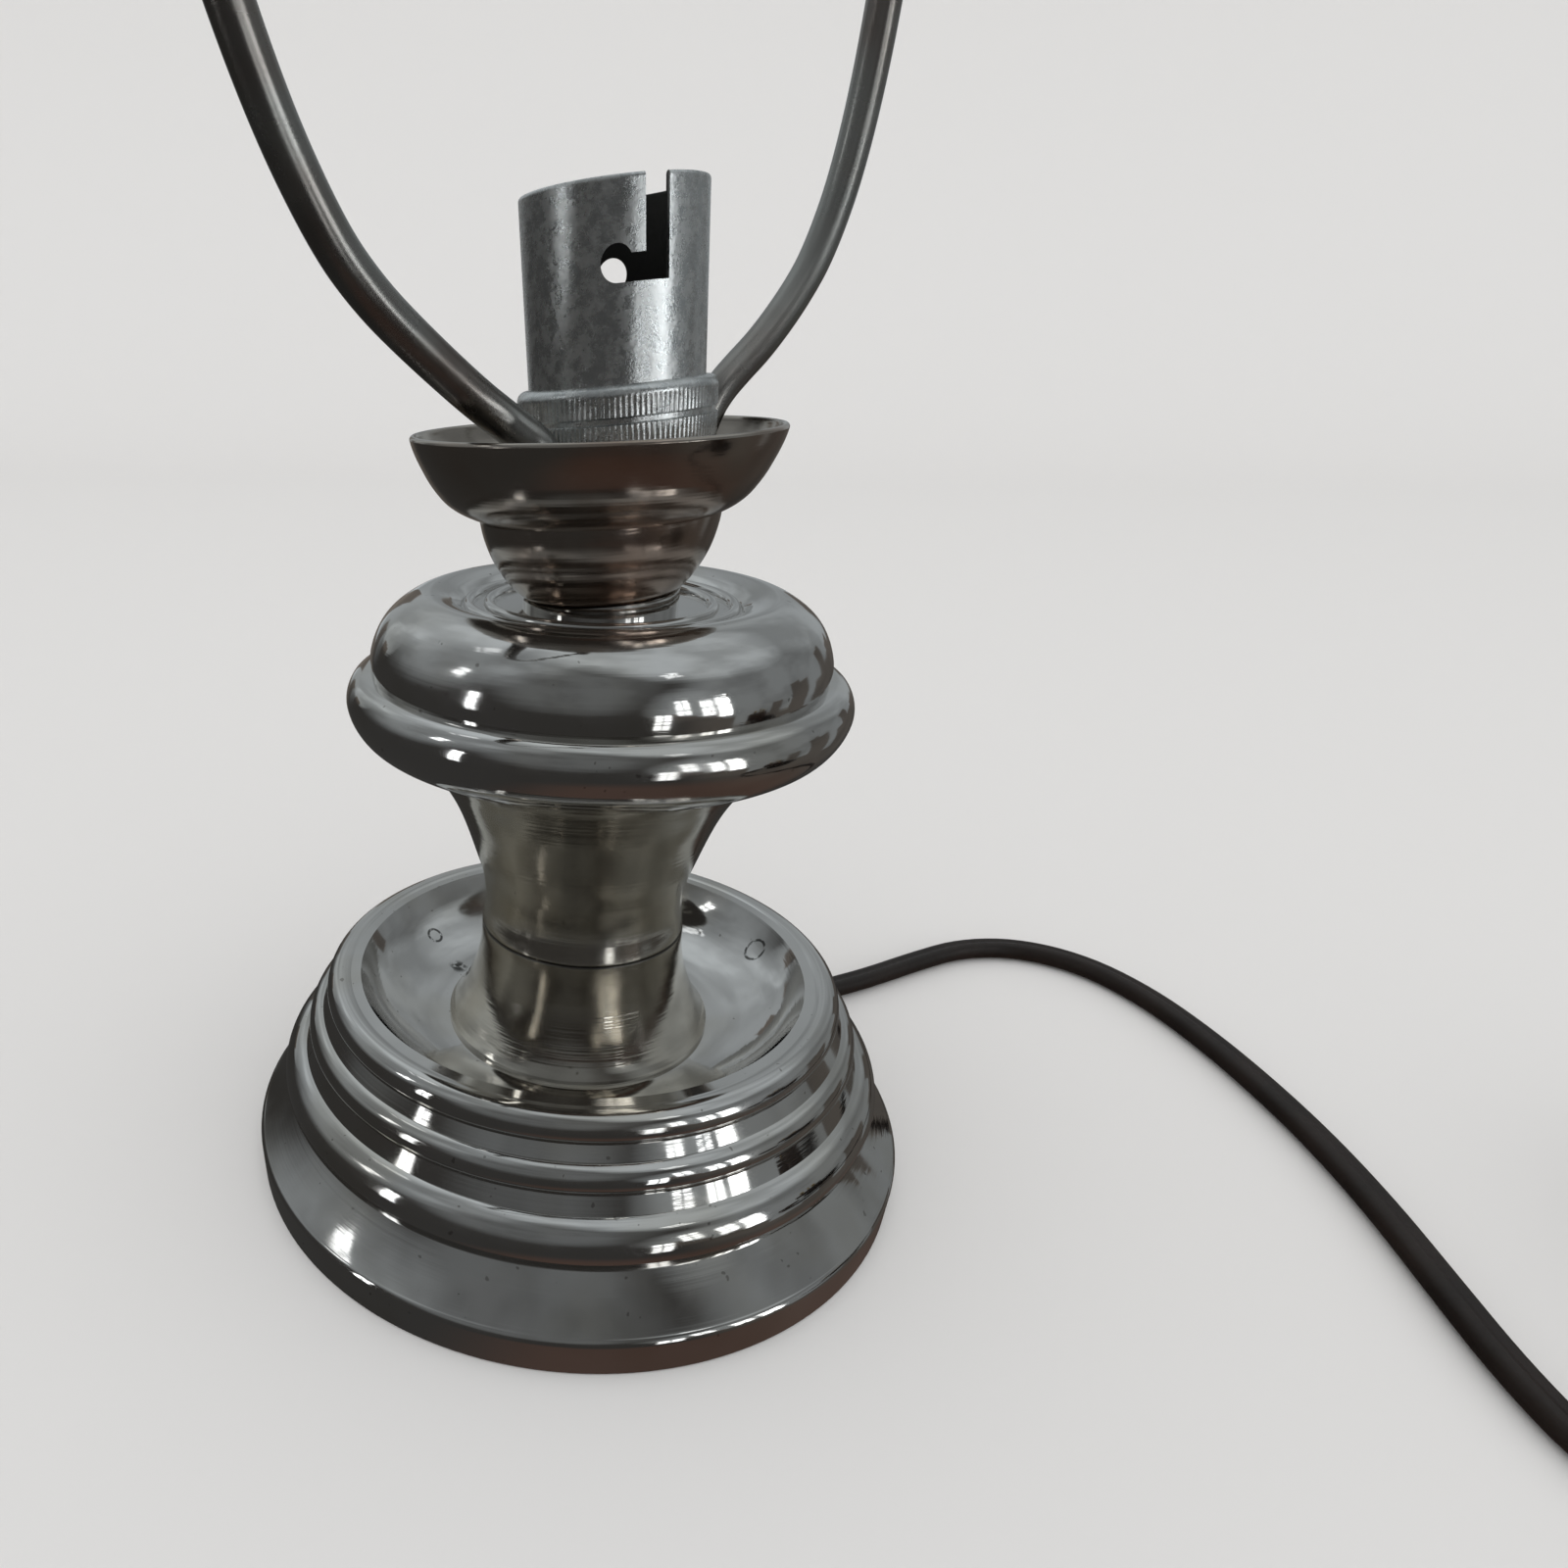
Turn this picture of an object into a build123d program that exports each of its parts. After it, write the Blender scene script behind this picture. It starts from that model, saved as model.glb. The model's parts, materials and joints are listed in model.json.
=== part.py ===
# A small metal table lamp whose column swells into a mushroom-shaped knop.
# A stepped, spun base with a dished deck carries a flared column and the knop. Above the knop a small
# bowl and a wider drip cup hold a bayonet lampholder, and a round wire harp rises out of the cup.
# Millimetres, +Z up. The origin is the middle of the resting face on the table.
import os
from math import atan2, cos, degrees, pi, radians, sin, sqrt, tan

from build123d import *

# Base: one spun shell on an iron disc, closed below by a cork pad
PAD_THICK = 2.2
PAD_GAP = 0.5
SHELL_WALL = 1.4
FOOT_R = 63.4
FOOT_LIFT = 0.3
FOOT_WALL_H = 6.2
FOOT_ROUND = 1.6
TORUS_R = 5.4
TORUS_MID_R = 51.8
TORUS_MID_Z = 18.6
ROLL_R = 3.1
ROLL_MID_R = 48.6
ROLL_MID_Z = 28.4
BEAD_R = 3.1
BEAD_MID_R = 44.7
BEAD_MID_Z = 35.2
DISH_EDGE_R = 41.4
DISH_EDGE_Z = 38.0
DECK_Z = 27.3
DISH_MID = (33.5, 31.0)
DISH_MID_SINK = 1.15
WEIGHT_R = 49.0
WEIGHT_H = 7.6
WEIGHT_PIT_R = 10.5
WEIGHT_PIT_H = 4.6
CHANNEL_W = 8.0
CHANNEL_H = 6.2
SPACER_R = 7.5

# Column: a flared foot, then a stem that opens like a trumpet
FLARE_R = 24.8
SEAM_R = 18.4
SEAM_Z = 47.4
WAIST_R = 17.8
WAIST_Z = 52.0
TRUMPET_R = 29.6
TRUMPET_Z = 81.0
COLUMN_WALL = 1.3
FLARE_LIP = 0.7
FLARE_LIP_WIDE = 3.2
FLARE_CURVE = ((22.2, 31.9), (19.8, 37.9))
FLARE_INSIDE = ((20.3, 31.5), (18.5, 37.7))
STEM_CURVE = ((19.3, 61.0), (22.4, 70.0))
SEAM_STEP = 0.1

# Knop: a rounded rim and a dome, with two fine rings round the neck
RIM_R = 40.1
RIM_MID_Z = 88.6
DOME_R = 36.0
DOME_Z = 93.2
DOME_TOP_Z = 104.6
DOME_DISH_Z = 102.6
DOME_WALL = 1.3
RIM_CURVE = ((34.4, 82.2), (38.2, 84.6))
RIM_SHOULDER = (39.2, 91.8)
RIM_LEDGE = 0.8
RIM_LIP = 1.6
RIM_INSIDE = ((34.0, 83.6), (37.2, 85.8))
RIM_INSIDE_SHOULDER = (38.0, 90.9)
DOME_CURVE = ((35.8, 96.4, 1.0, 0.0), (34.0, 100.2, 0.9, 0.3), (31.2, 102.8, 0.7, 0.6), (27.2, 104.6, 0.0, 1.0),
              (23.6, 104.1, 0.0, 1.0), (21.6, 102.9, 0.0, 1.0))
DISH_FLAT_R = 20.9
BLOCK_SEAT_R = 28.0
NECK_RING_R = (20.4, 17.2)
NECK_RING_WIRE = 0.9
NECK_HOLE_R = 9.0

# Upper stack: everything above the knop leans a little to the left, as it does in the photograph
LEAN = 5.0
STACK_Z = 104.4
BOWL_SHIFT = 0.1
HOLDER_SHIFT = 2.8
CUP_LEAN = 2.0
CUP_SHIFT = -0.7
COLLAR_R = 12.0
BOWL_NECK_R = 10.6
BOWL_RIM_R = 17.8
BOWL_H = 11.2
BOWL_WALL = 1.2
BOWL_FLOOR = 3.8
BOWL_FLOOR_R = 12.4
BOWL_LIP = 1.2
BOWL_CURVE = ((13.2, 2.2), (15.9, 5.2), (17.3, 8.6))
BOWL_INSIDE = ((14.6, 6.0), (15.9, 8.9))
CUP_SEAT_R = 17.0
CUP_BALL_R = 50.0
CUP_RIM_R = 26.6
CUP_RIM_H = 21.6
CUP_WALL = 1.0
CUP_HOLE_R = 11.5
CUP_FLOOR_MID = 15.0
CUP_FLOOR_R = 18.4
CUP_SINK = 0.4
CUP_CURVE = ((20.8, 12.5), (22.6, 14.0), (24.7, 17.0))
CUP_INSIDE = ((20.3, 13.4), (21.9, 14.8), (23.7, 17.4))

# Rods, nuts and washers on the M10 thread
ROD_R = 5.0
ROD_BORE_R = 3.6
THREAD_GAP = 0.15
ROD_BOTTOM = 2.9
ROD_TOP = 99.0
NUT_AF = 14.0
NUT_H = 3.0
WASHER_R = 9.0
WASHER_T = 1.0
BLOCK_R = 9.0
BLOCK_H = 5.6
NIPPLE_FOOT = -4.2
NIPPLE_TOP = 18.0
SADDLE_Z = 12.6
SADDLE_T = 1.6
SADDLE_R = 15.4
PACKING_R = 12.6
PACKING_GAP = 0.2

# Bayonet lampholder
HOLDER_R = 12.2
HOLDER_BORE_R = 11.4
HOLDER_SEAT_R = 11.1
HOLDER_FOOT = 21.4
HOLDER_MOUTH = 48.5
CAP_R = 11.6
CAP_WALL = 1.4
RING_R = 13.9
RING_FOOT = 19.6
RING_TOP = 27.3
RING_ROUND = 1.3
RING_GROOVES = 60
RING_GROOVE_DEEP = 0.3
RING_BAND = (22.9, 23.1, 23.5, 23.7)
RING_BAND_DEEP = 0.4
RING_GAP = 0.1
SLOT_FLOOR = 38.0
SLOT_H = 2.9
SEAT_R = 2.0
SEAT_TURN = -88.5
ENTRY_TURN = -64.3
ENTRY_WIDTH = 3.2
BODY_FOOT = 23.0
BODY_TOP = 31.0
BODY_GAP = 0.05
LID_T = 1.6
CONTACT_APART = 10.4
PLUNGER_R = 1.9
PLUNGER_HEAD_R = 2.5
PLUNGER_HEAD_T = 2.2
PLUNGER_OUT = 3.6
PLUNGER_GAP = 0.06
WELL_FOOT = 24.0
SPRING_WIRE = 0.22
SPRING_R = 1.7
SPRING_TURNS = 4

# Harp: one round wire, up one side and down the other
HARP_WIRE_R = 2.5
HARP_TURN = 42.0
HARP_FOOT_R = 14.6
HARP_NEAR = ((15.6, 16.0, 17.2), (17.7, 13.0, 21.2), (18.9, 6.5, 23.0), (20.4, 2.4, 24.7), (24.4, 0.0, 27.8),
             (32.2, 0.0, 34.0), (37.7, 0.0, 38.9), (42.2, 0.0, 44.6), (47.4, 0.0, 56.0), (51.6, 0.0, 72.0))
HARP_FAR = ((15.5, 0.0, 17.3), (17.6, 0.0, 21.6), (20.4, 0.0, 24.6), (23.9, 0.0, 26.9), (29.6, 0.0, 30.2), (36.6, 0.0, 35.8),
            (41.4, 0.0, 41.2), (46.6, 0.0, 51.0), (51.0, 0.0, 67.0))
HARP_CROWN = ((54.2, 92.0), (52.4, 114.0), (46.0, 135.0), (34.5, 152.5), (17.5, 165.0))
HARP_TOP = 168.0
HARP_FLAT = 12.0
BOSS_R = 6.0
BOSS_H = 4.0
STUD_R = 3.1
STUD_H = 11.0
FINIAL_H = 15.0
FINIAL_FOOT_R = 5.4
FINIAL_FOOT_H = 1.6
FINIAL_CURVE = ((4.5, 3.4), (6.5, 8.2), (4.6, 12.8))
FINIAL_GAP = 0.06
STUD_GAP = 0.4
FINIAL_LIFT = 0.1

# Cord, its coil, its switch and its plug
CORD_R = 2.6
CORD_TURN = 40.0
CORD_EXIT_Z = 3.7
GROMMET_R = 3.3
GROMMET_FLANGE_R = 4.1
GROMMET_IN = FOOT_R - 6.4
GROMMET_OUT = FOOT_R + 1.6
GROMMET_FLANGE_T = 1.4
CORD_GAP = 0.3
INNER_RUN = ((0.0, 0.0), (9.0, 0.0), (19.0, 1.2), (33.0, 1.3), (48.0, 1.25))
CORD_RUN = (
    (61.8, 51.0, 3.0), (72.5, 57.6, 2.6), (86.0, 66.8, 2.6), (99.5, 75.0, 2.6), (114.5, 77.0, 2.6),
    (128.5, 70.4, 2.6), (138.0, 56.5, 2.6), (143.6, 39.5, 2.6), (147.2, 21.5, 2.6), (149.2, 3.5, 2.6), (149.4, -14.5, 2.6),
    (148.2, -32.5, 2.6), (147.2, -49.0, 2.6), (148.4, -64.0, 2.6), (157.4, -79.6, 2.6), (172.8, -88.6, 3.4),
    (190.3, -88.6, 4.2),
)
SWITCH_X = 190.3
SWITCH_Y = -88.6
SWITCH_LONG = 58.0
SWITCH_WIDE = 22.0
SWITCH_LOW_H = 8.4
SWITCH_TOP_H = 6.4
SWITCH_ROUND = 5.0
ROCKER_LONG = 17.0
ROCKER_WIDE = 9.0
ROCKER_TILT = 8.0
ROCKER_GAP = 0.35
ROCKER_Z = 11.2
LINK_RUN = ((248.3, -88.6, 4.2), (259.3, -88.6, 3.6), (272.7, -80.8, 2.8), (280.2, -67.4, 2.3))
COIL_X = 246.6
COIL_Y = -37.2
COIL_START = 0.0
COIL_OUT_R = 33.8
COIL_STEP = 5.95
COIL_LAYERS = 4
COIL_TURNS = 7.25
COIL_FLAT = 0.5
TAIL_RUN = (
    (-30.8, 0.0, 2.0), (-47.2, -16.4, 4.5), (-47.2, -39.6, 7.5), (-30.8, -56.0, 10.2), (-11.0, -56.0, 10.2),
)
LEAD_IN = 12.0
LEAD_OUT = 6.0
PLUG_WIDE = 46.0
PLUG_LONG = 48.0
PLUG_LOW_H = 11.0
PLUG_TOP_H = 9.0
PLUG_ROUND = 6.0
PLUG_CORD_Z = 7.5
PIN_LONG = (6.4, 4.0, 17.7)
PIN_EARTH = (4.0, 8.0, 22.7)
PIN_APART = 22.2
PIN_BACK = 18.0
PIN_EARTH_UP = 22.2
SCREW_R = 2.0


def stack(shift):
    """The leaning frame of the upper stack, moved sideways in its own plane by shift."""
    return Location((0, 0, STACK_Z), (0, -LEAN, 0)) * Pos(shift, 0, 0)


def cup_place():
    return stack(CUP_SHIFT) * Location((0, 0, BOWL_H), (0, LEAN - CUP_LEAN, 0)) * Pos(0, 0, -BOWL_H)


def tube(r_out, r_in, z0, z1):
    body = Pos(0, 0, z0) * Cylinder(r_out, z1 - z0, align=(Align.CENTER, Align.CENTER, Align.MIN))
    if r_in <= 0:
        return body
    bore = Pos(0, 0, z0 - 1) * Cylinder(r_in, z1 - z0 + 2, align=(Align.CENTER, Align.CENTER, Align.MIN))
    return body - bore


def hex_nut(z0, across, height, hole):
    nut = extrude(Plane.XY.offset(z0) * RegularPolygon(across / 2, 6, major_radius=False), height)
    return nut - tube(hole, 0, z0 - 1, z0 + height + 1)


def turned(edges):
    """A solid turned round Z from a closed outline in the XZ plane."""
    return revolve(make_face(edges), Axis.Z)


def xz(r, z):
    return (r, 0, z)


def arc_xz(mid_r, mid_z, radius, a0, a1):
    """An arc in the XZ plane; angles from +X towards +Z."""
    def at(a):
        return (mid_r + radius * cos(radians(a)), 0, mid_z + radius * sin(radians(a)))
    return ThreePointArc(at(a0), at((a0 + a1) / 2), at(a1))


def base_line(shrink):
    """The base's outline, pulled inwards by shrink, as points and arcs from the foot to the deck."""
    s = shrink
    foot_r = FOOT_R - s
    torus = arc_xz(TORUS_MID_R, TORUS_MID_Z, TORUS_R - s, -44, 80)
    roll = arc_xz(ROLL_MID_R, ROLL_MID_Z, ROLL_R - s, -36, 84)
    bead = arc_xz(BEAD_MID_R, BEAD_MID_Z, BEAD_R - s, -30, 118)
    foot = arc_xz(FOOT_R - FOOT_ROUND, FOOT_WALL_H, FOOT_ROUND - s if s < FOOT_ROUND else 0.2, 0, 66)
    dish_edge = xz(DISH_EDGE_R, DISH_EDGE_Z - s)
    dish = ThreePointArc(dish_edge, xz(DISH_MID[0], DISH_MID[1] - s * DISH_MID_SINK), xz(FLARE_R, DECK_Z - s))
    lines = [
        Line(xz(foot_r, FOOT_LIFT), foot @ 0),
        foot,
        Line(foot @ 1, torus @ 0),
        torus,
        Line(torus @ 1, roll @ 0),
        roll,
        Line(roll @ 1, bead @ 0),
        bead,
        Line(bead @ 1, dish_edge),
        dish,
        Line(dish @ 1, xz(ROD_R + THREAD_GAP, DECK_Z - s)),
    ]
    return lines


def base_shell():
    outer = base_line(0)
    inner = base_line(SHELL_WALL)
    low = Line(outer[0] @ 0, inner[0] @ 0)
    hole = Line(outer[-1] @ 1, inner[-1] @ 1)
    shell = turned(outer + [hole] + inner + [low])
    notch = Box(FOOT_R, 2 * GROMMET_R, CORD_EXIT_Z, align=(Align.MIN, Align.CENTER, Align.MIN))
    notch = Pos(GROMMET_IN - 2, 0, 0) * notch
    return shell - cord_hole(GROMMET_R) - Rot(0, 0, CORD_TURN) * notch


def cord_hole(radius, start=WEIGHT_R - 5):
    """A round bar out through the foot of the base, where the cord leaves."""
    bar = Cylinder(radius, GROMMET_OUT - start + 10, align=(Align.CENTER, Align.CENTER, Align.MIN), rotation=(0, 90, 0))
    return Rot(0, 0, CORD_TURN) * Pos(start, 0, CORD_EXIT_Z) * bar


def base_pad():
    pad = tube(FOOT_R - SHELL_WALL - PAD_GAP, 0, 0, PAD_THICK)
    return pad - cord_hole(CORD_R + CORD_GAP) - cord_hole(GROMMET_R, GROMMET_IN)


def base_weight():
    body = tube(WEIGHT_R, ROD_R + THREAD_GAP, PAD_THICK, PAD_THICK + WEIGHT_H)
    body = body - tube(WEIGHT_PIT_R, 0, PAD_THICK - 1, PAD_THICK + WEIGHT_PIT_H)
    channel = Box(WEIGHT_R + 10, CHANNEL_W, CHANNEL_H, align=(Align.MIN, Align.CENTER, Align.MIN))
    return body - Rot(0, 0, CORD_TURN) * Pos(WEIGHT_PIT_R - 3, 0, PAD_THICK - 0.5) * channel


def washer(z0):
    return tube(WASHER_R, ROD_R + THREAD_GAP, z0, z0 + WASHER_T)


def tie_rod():
    return tube(ROD_R, ROD_BORE_R, ROD_BOTTOM, ROD_TOP)


def deck_spacer():
    return tube(SPACER_R, ROD_R + THREAD_GAP, PAD_THICK + WEIGHT_H, DECK_Z - SHELL_WALL)


def flare_side(top_r, foot_r, points):
    """One side of the flared foot: a short upright lip, then a curve up to the seam."""
    lip = Line(xz(foot_r, DECK_Z), xz(foot_r, DECK_Z + FLARE_LIP))
    curve = Spline(lip @ 1, *[xz(*point) for point in points], xz(top_r, SEAM_Z),
                   tangents=((-0.72, 0, 0.7), (-0.05, 0, 1)))
    return [lip, curve]


def column_foot():
    outer = flare_side(SEAM_R, FLARE_R, FLARE_CURVE)
    inner = flare_side(SEAM_R - COLUMN_WALL, FLARE_R - FLARE_LIP_WIDE, FLARE_INSIDE)
    top = Line(outer[1] @ 1, inner[1] @ 1)
    low = Line(outer[0] @ 0, inner[0] @ 0)
    return turned(outer + [top] + inner + [low])


def stem_side(w):
    """One side of the stem, w inside its outline."""
    middle = [xz(r - w, z) for r, z in STEM_CURVE]
    return Spline(xz(SEAM_R - w - SEAM_STEP, SEAM_Z), xz(WAIST_R - w, WAIST_Z), *middle,
                  xz(TRUMPET_R - w * 1.3, TRUMPET_Z), tangents=((-0.1, 0, 1), (0.86, 0, 0.5)))


def column_stem():
    outer = stem_side(0)
    inner = stem_side(COLUMN_WALL)
    return turned([outer, inner, Line(outer @ 0, inner @ 0), Line(outer @ 1, inner @ 1)])


def knop_rim():
    """The rolled rim of the knop, hollow below the dome."""
    w = DOME_WALL
    lip_r = DOME_R - w - RIM_LIP
    step_r = TRUMPET_R - w - 0.4
    outer = Spline(xz(TRUMPET_R, TRUMPET_Z), *[xz(*point) for point in RIM_CURVE], xz(RIM_R, RIM_MID_Z),
                   xz(*RIM_SHOULDER), xz(DOME_R + RIM_LEDGE, DOME_Z), tangents=((1, 0, 0.1), (-1, 0, 0.15)))
    inner = Spline(xz(step_r, TRUMPET_Z + w), *[xz(*point) for point in RIM_INSIDE], xz(RIM_R - w, RIM_MID_Z),
                   xz(*RIM_INSIDE_SHOULDER), xz(lip_r, DOME_Z - w), tangents=((1, 0, 0.1), (-1, 0, 0.1)))
    foot = Line(outer @ 0, xz(step_r, TRUMPET_Z))
    step = Line(foot @ 1, inner @ 0)
    top = Line(outer @ 1, xz(lip_r, DOME_Z))
    return turned([outer, top, Line(top @ 1, inner @ 1), inner, step, foot])


def dome_side(w):
    """The dome's side, w inside its outline; each point says how far it moves in and down with w."""
    middle = [xz(r - w * inward, z - w * down) for r, z, inward, down in DOME_CURVE]
    return Spline(xz(DOME_R - w, DOME_Z), *middle, tangents=((0, 0, 1), (-0.6, 0, -0.5)))


def knop_dome():
    outer = dome_side(0)
    inner = dome_side(DOME_WALL)
    low = DOME_DISH_Z - DOME_WALL
    corners = [outer @ 1, xz(DISH_FLAT_R, DOME_DISH_Z), xz(NECK_HOLE_R, DOME_DISH_Z), xz(NECK_HOLE_R, low),
               xz(DISH_FLAT_R, low), inner @ 1]
    flat = [Line(a, b) for a, b in zip(corners, corners[1:])]
    dome = turned([outer] + flat + [inner, Line(inner @ 0, outer @ 0)])
    for radius in NECK_RING_R:
        dome = dome + Pos(0, 0, DOME_DISH_Z) * Torus(radius, NECK_RING_WIRE)
    return dome - tube(BLOCK_SEAT_R, 0, low - 4, low)


def neck_collar():
    """A wedge-shaped collar: level below, leaning above."""
    block = tube(COLLAR_R, NECK_HOLE_R, DOME_DISH_Z, STACK_Z + 4)
    cut = stack(BOWL_SHIFT) * Box(60, 60, 20, align=(Align.CENTER, Align.CENTER, Align.MIN))
    return block - cut


def lower_bowl():
    out = Spline(xz(BOWL_NECK_R, BOWL_LIP), *[xz(*point) for point in BOWL_CURVE], xz(BOWL_RIM_R, BOWL_H + BOWL_LIP),
                 tangents=((1, 0, 0.25), (0.1, 0, 1)))
    inside = Spline(xz(BOWL_FLOOR_R, BOWL_FLOOR), *[xz(*point) for point in BOWL_INSIDE],
                    xz(BOWL_RIM_R - BOWL_WALL, BOWL_H + BOWL_LIP), tangents=((0.8, 0, 0.6), (0.1, 0, 1)))
    corners = [inside @ 0, xz(NECK_HOLE_R, BOWL_FLOOR), xz(NECK_HOLE_R, 0), xz(BOWL_NECK_R, 0), out @ 0]
    floor = [Line(a, b) for a, b in zip(corners, corners[1:])]
    bowl = stack(BOWL_SHIFT) * turned([out, Line(out @ 1, inside @ 1), inside] + floor)
    return bowl - cup_place() * turned(cup_outline(solid=True))


def cup_outline(solid=False):
    """The cup's outline: a ball-shaped seat, then an open bowl; solid fills its inside."""
    w = CUP_WALL
    mid = ball_middle()

    def ball(r, grow=0.0):
        return xz(r, mid - sqrt((CUP_BALL_R - grow) ** 2 - r ** 2))
    seat = ThreePointArc(ball(CUP_HOLE_R), ball(CUP_FLOOR_MID), ball(CUP_FLOOR_R))
    side = Spline(seat @ 1, *[xz(*point) for point in CUP_CURVE], xz(CUP_RIM_R, CUP_RIM_H),
                  tangents=((0.93, 0, 0.37), (0.2, 0, 1)))
    if solid:
        middle = Line(xz(0, CUP_RIM_H), xz(0, (seat @ 0).Z))
        return [seat, side, Line(side @ 1, middle @ 0), middle, Line(middle @ 1, seat @ 0)]
    seat_in = ThreePointArc(ball(CUP_HOLE_R, w), ball(CUP_FLOOR_MID, w), ball(CUP_FLOOR_R - 0.4 * w, w))
    side_in = Spline(seat_in @ 1, *[xz(*point) for point in CUP_INSIDE], xz(CUP_RIM_R - w, CUP_RIM_H),
                     tangents=((0.93, 0, 0.37), (0.2, 0, 1)))
    lip = ThreePointArc(side @ 1, xz(CUP_RIM_R - w / 2, CUP_RIM_H + w / 2), side_in @ 1)
    return [seat, side, lip, side_in, seat_in, Line(seat @ 0, seat_in @ 0)]


def drip_cup():
    return cup_place() * turned(cup_outline())


def coupling_block():
    """A turned block that joins the tie rod to the leaning nipple."""
    top = DOME_DISH_Z - DOME_WALL
    block = tube(BLOCK_R, 0, top - BLOCK_H, top)
    block = block - tube(ROD_R, 0, top - BLOCK_H - 1, ROD_TOP)
    block = block - tube(ROD_BORE_R - 0.6, 0, top - BLOCK_H, top + 1)
    return block - stack(HOLDER_SHIFT) * tube(ROD_R, 0, NIPPLE_FOOT, NIPPLE_FOOT + 20)


def nipple():
    return stack(HOLDER_SHIFT) * tube(ROD_R, ROD_BORE_R, NIPPLE_FOOT, NIPPLE_TOP)


def bowl_washer():
    """A washer as wide as the bowl's floor, with its hole off centre for the nipple."""
    disc = stack(BOWL_SHIFT) * tube(BOWL_FLOOR_R - 0.4, 0, BOWL_FLOOR, BOWL_FLOOR + WASHER_T)
    return disc - stack(HOLDER_SHIFT) * tube(ROD_R + THREAD_GAP, 0, 0, BOWL_H)


def stack_spacer():
    return stack(HOLDER_SHIFT) * tube(SPACER_R, ROD_R + THREAD_GAP, BOWL_FLOOR + WASHER_T, SADDLE_Z)


def cup_packing():
    """A ring with a ball-shaped underside that beds the flat saddle in the cup."""
    ring = stack(HOLDER_SHIFT) * tube(PACKING_R, SPACER_R + PACKING_GAP, BOWL_FLOOR + 1, SADDLE_Z)
    return ring & cup_place() * Pos(0, 0, ball_middle()) * Sphere(CUP_BALL_R - CUP_WALL)


def ball_middle():
    """The height of the middle of the ball that the cup's floor is part of."""
    return BOWL_H - CUP_SINK + sqrt(CUP_BALL_R ** 2 - CUP_SEAT_R ** 2)


def harp_saddle():
    return stack(HOLDER_SHIFT) * tube(SADDLE_R, ROD_R + THREAD_GAP, SADDLE_Z, SADDLE_Z + SADDLE_T)


def fillet_radii(points):
    """For each corner, 0.45 of its shorter run over the tangent of half the turn."""
    spots = [Vector(*p) for p in points]
    radii = []
    for a, b, c in zip(spots, spots[1:], spots[2:]):
        turn = radians((b - a).get_angle(c - b))
        radii.append(0.45 * min((b - a).length, (c - b).length) / tan(turn / 2))
    return radii


def swept(points, wire_r, label=None):
    """A round bar along straight runs joined by tangent arcs."""
    radii = fillet_radii(points)
    path = FilletPolyline(*points, radius=radii)
    if label:
        print(label, "length", round(path.length, 1), "arc radii", [round(r, 1) for r in radii])
    start = Plane(origin=path @ 0, z_dir=path % 0)
    bar = sweep(start * Circle(wire_r), path=path)
    if label:
        print(label, "volume over section times length", round(bar.volume / (pi * wire_r ** 2 * path.length), 4))
    return bar


def harp_loop():
    """One bent wire: up the far side, over the crown and down the near side."""
    foot = SADDLE_Z + SADDLE_T
    crown = [(r, 0.0, z) for r, z in HARP_CROWN] + [(HARP_FLAT, 0.0, HARP_TOP)]
    far = [(HARP_FOOT_R, 0.0, foot)] + list(HARP_FAR) + crown
    near = [(HARP_FOOT_R, HARP_NEAR[0][1], foot)] + list(HARP_NEAR) + crown
    points = [around(r, turn, z) for r, turn, z in far]
    points += [around(r, turn + 180, z) for r, turn, z in reversed(near)]
    wire = swept(points, HARP_WIRE_R)
    wire = wire - tube(SADDLE_R + 9, 0, foot - 9, foot)
    return stack(HOLDER_SHIFT) * Rot(0, 0, HARP_TURN) * wire


def around(radius, turn, z):
    return (radius * cos(radians(turn)), radius * sin(radians(turn)), z)


def harp_boss():
    boss = tube(BOSS_R, 0, HARP_TOP - 2.2, HARP_TOP + BOSS_H)
    stud = tube(STUD_R, 0, HARP_TOP, HARP_TOP + BOSS_H + STUD_H)
    wire = Pos(0, 0, HARP_TOP) * Rot(0, 0, HARP_TURN) * Cylinder(HARP_WIRE_R, 2 * HARP_FLAT + 20, rotation=(0, 90, 0))
    return stack(HOLDER_SHIFT) * (boss + stud - wire)


def finial():
    foot = HARP_TOP + BOSS_H + FINIAL_LIFT
    base = Line(xz(0, foot), xz(FINIAL_FOOT_R, foot))
    side = Line(base @ 1, xz(FINIAL_FOOT_R, foot + FINIAL_FOOT_H))
    curve = Spline(side @ 1, *[xz(r, foot + z) for r, z in FINIAL_CURVE], xz(0, foot + FINIAL_H),
                   tangents=((-0.7, 0, 0.7), (-1, 0, 0)))
    knob = turned([base, side, curve, Line(curve @ 1, base @ 0)])
    hole = tube(STUD_R + FINIAL_GAP, 0, foot - 1, HARP_TOP + BOSS_H + STUD_H + STUD_GAP)
    return stack(HOLDER_SHIFT) * (knob - hole)


def holder_cap():
    foot = SADDLE_Z + SADDLE_T
    cup = tube(CAP_R, 0, foot, HOLDER_FOOT)
    cup = cup - tube(CAP_R - CAP_WALL, 0, foot + CAP_WALL, HOLDER_FOOT + 1)
    return stack(HOLDER_SHIFT) * (cup - tube(ROD_R + THREAD_GAP, 0, foot - 1, foot + 4))


def cap_nut():
    foot = SADDLE_Z + SADDLE_T + CAP_WALL
    return stack(HOLDER_SHIFT) * hex_nut(foot, NUT_AF, NIPPLE_TOP - foot, ROD_R + THREAD_GAP)


def sector(r0, r1, z0, z1, turn0, turn1):
    """A slice of a ring between two turns round Z, in degrees."""
    outline = Polyline(xz(r0, z0), xz(r1, z0), xz(r1, z1), xz(r0, z1), close=True)
    return Rot(0, 0, turn0) * revolve(make_face(outline), Axis.Z, revolution_arc=turn1 - turn0)


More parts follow.
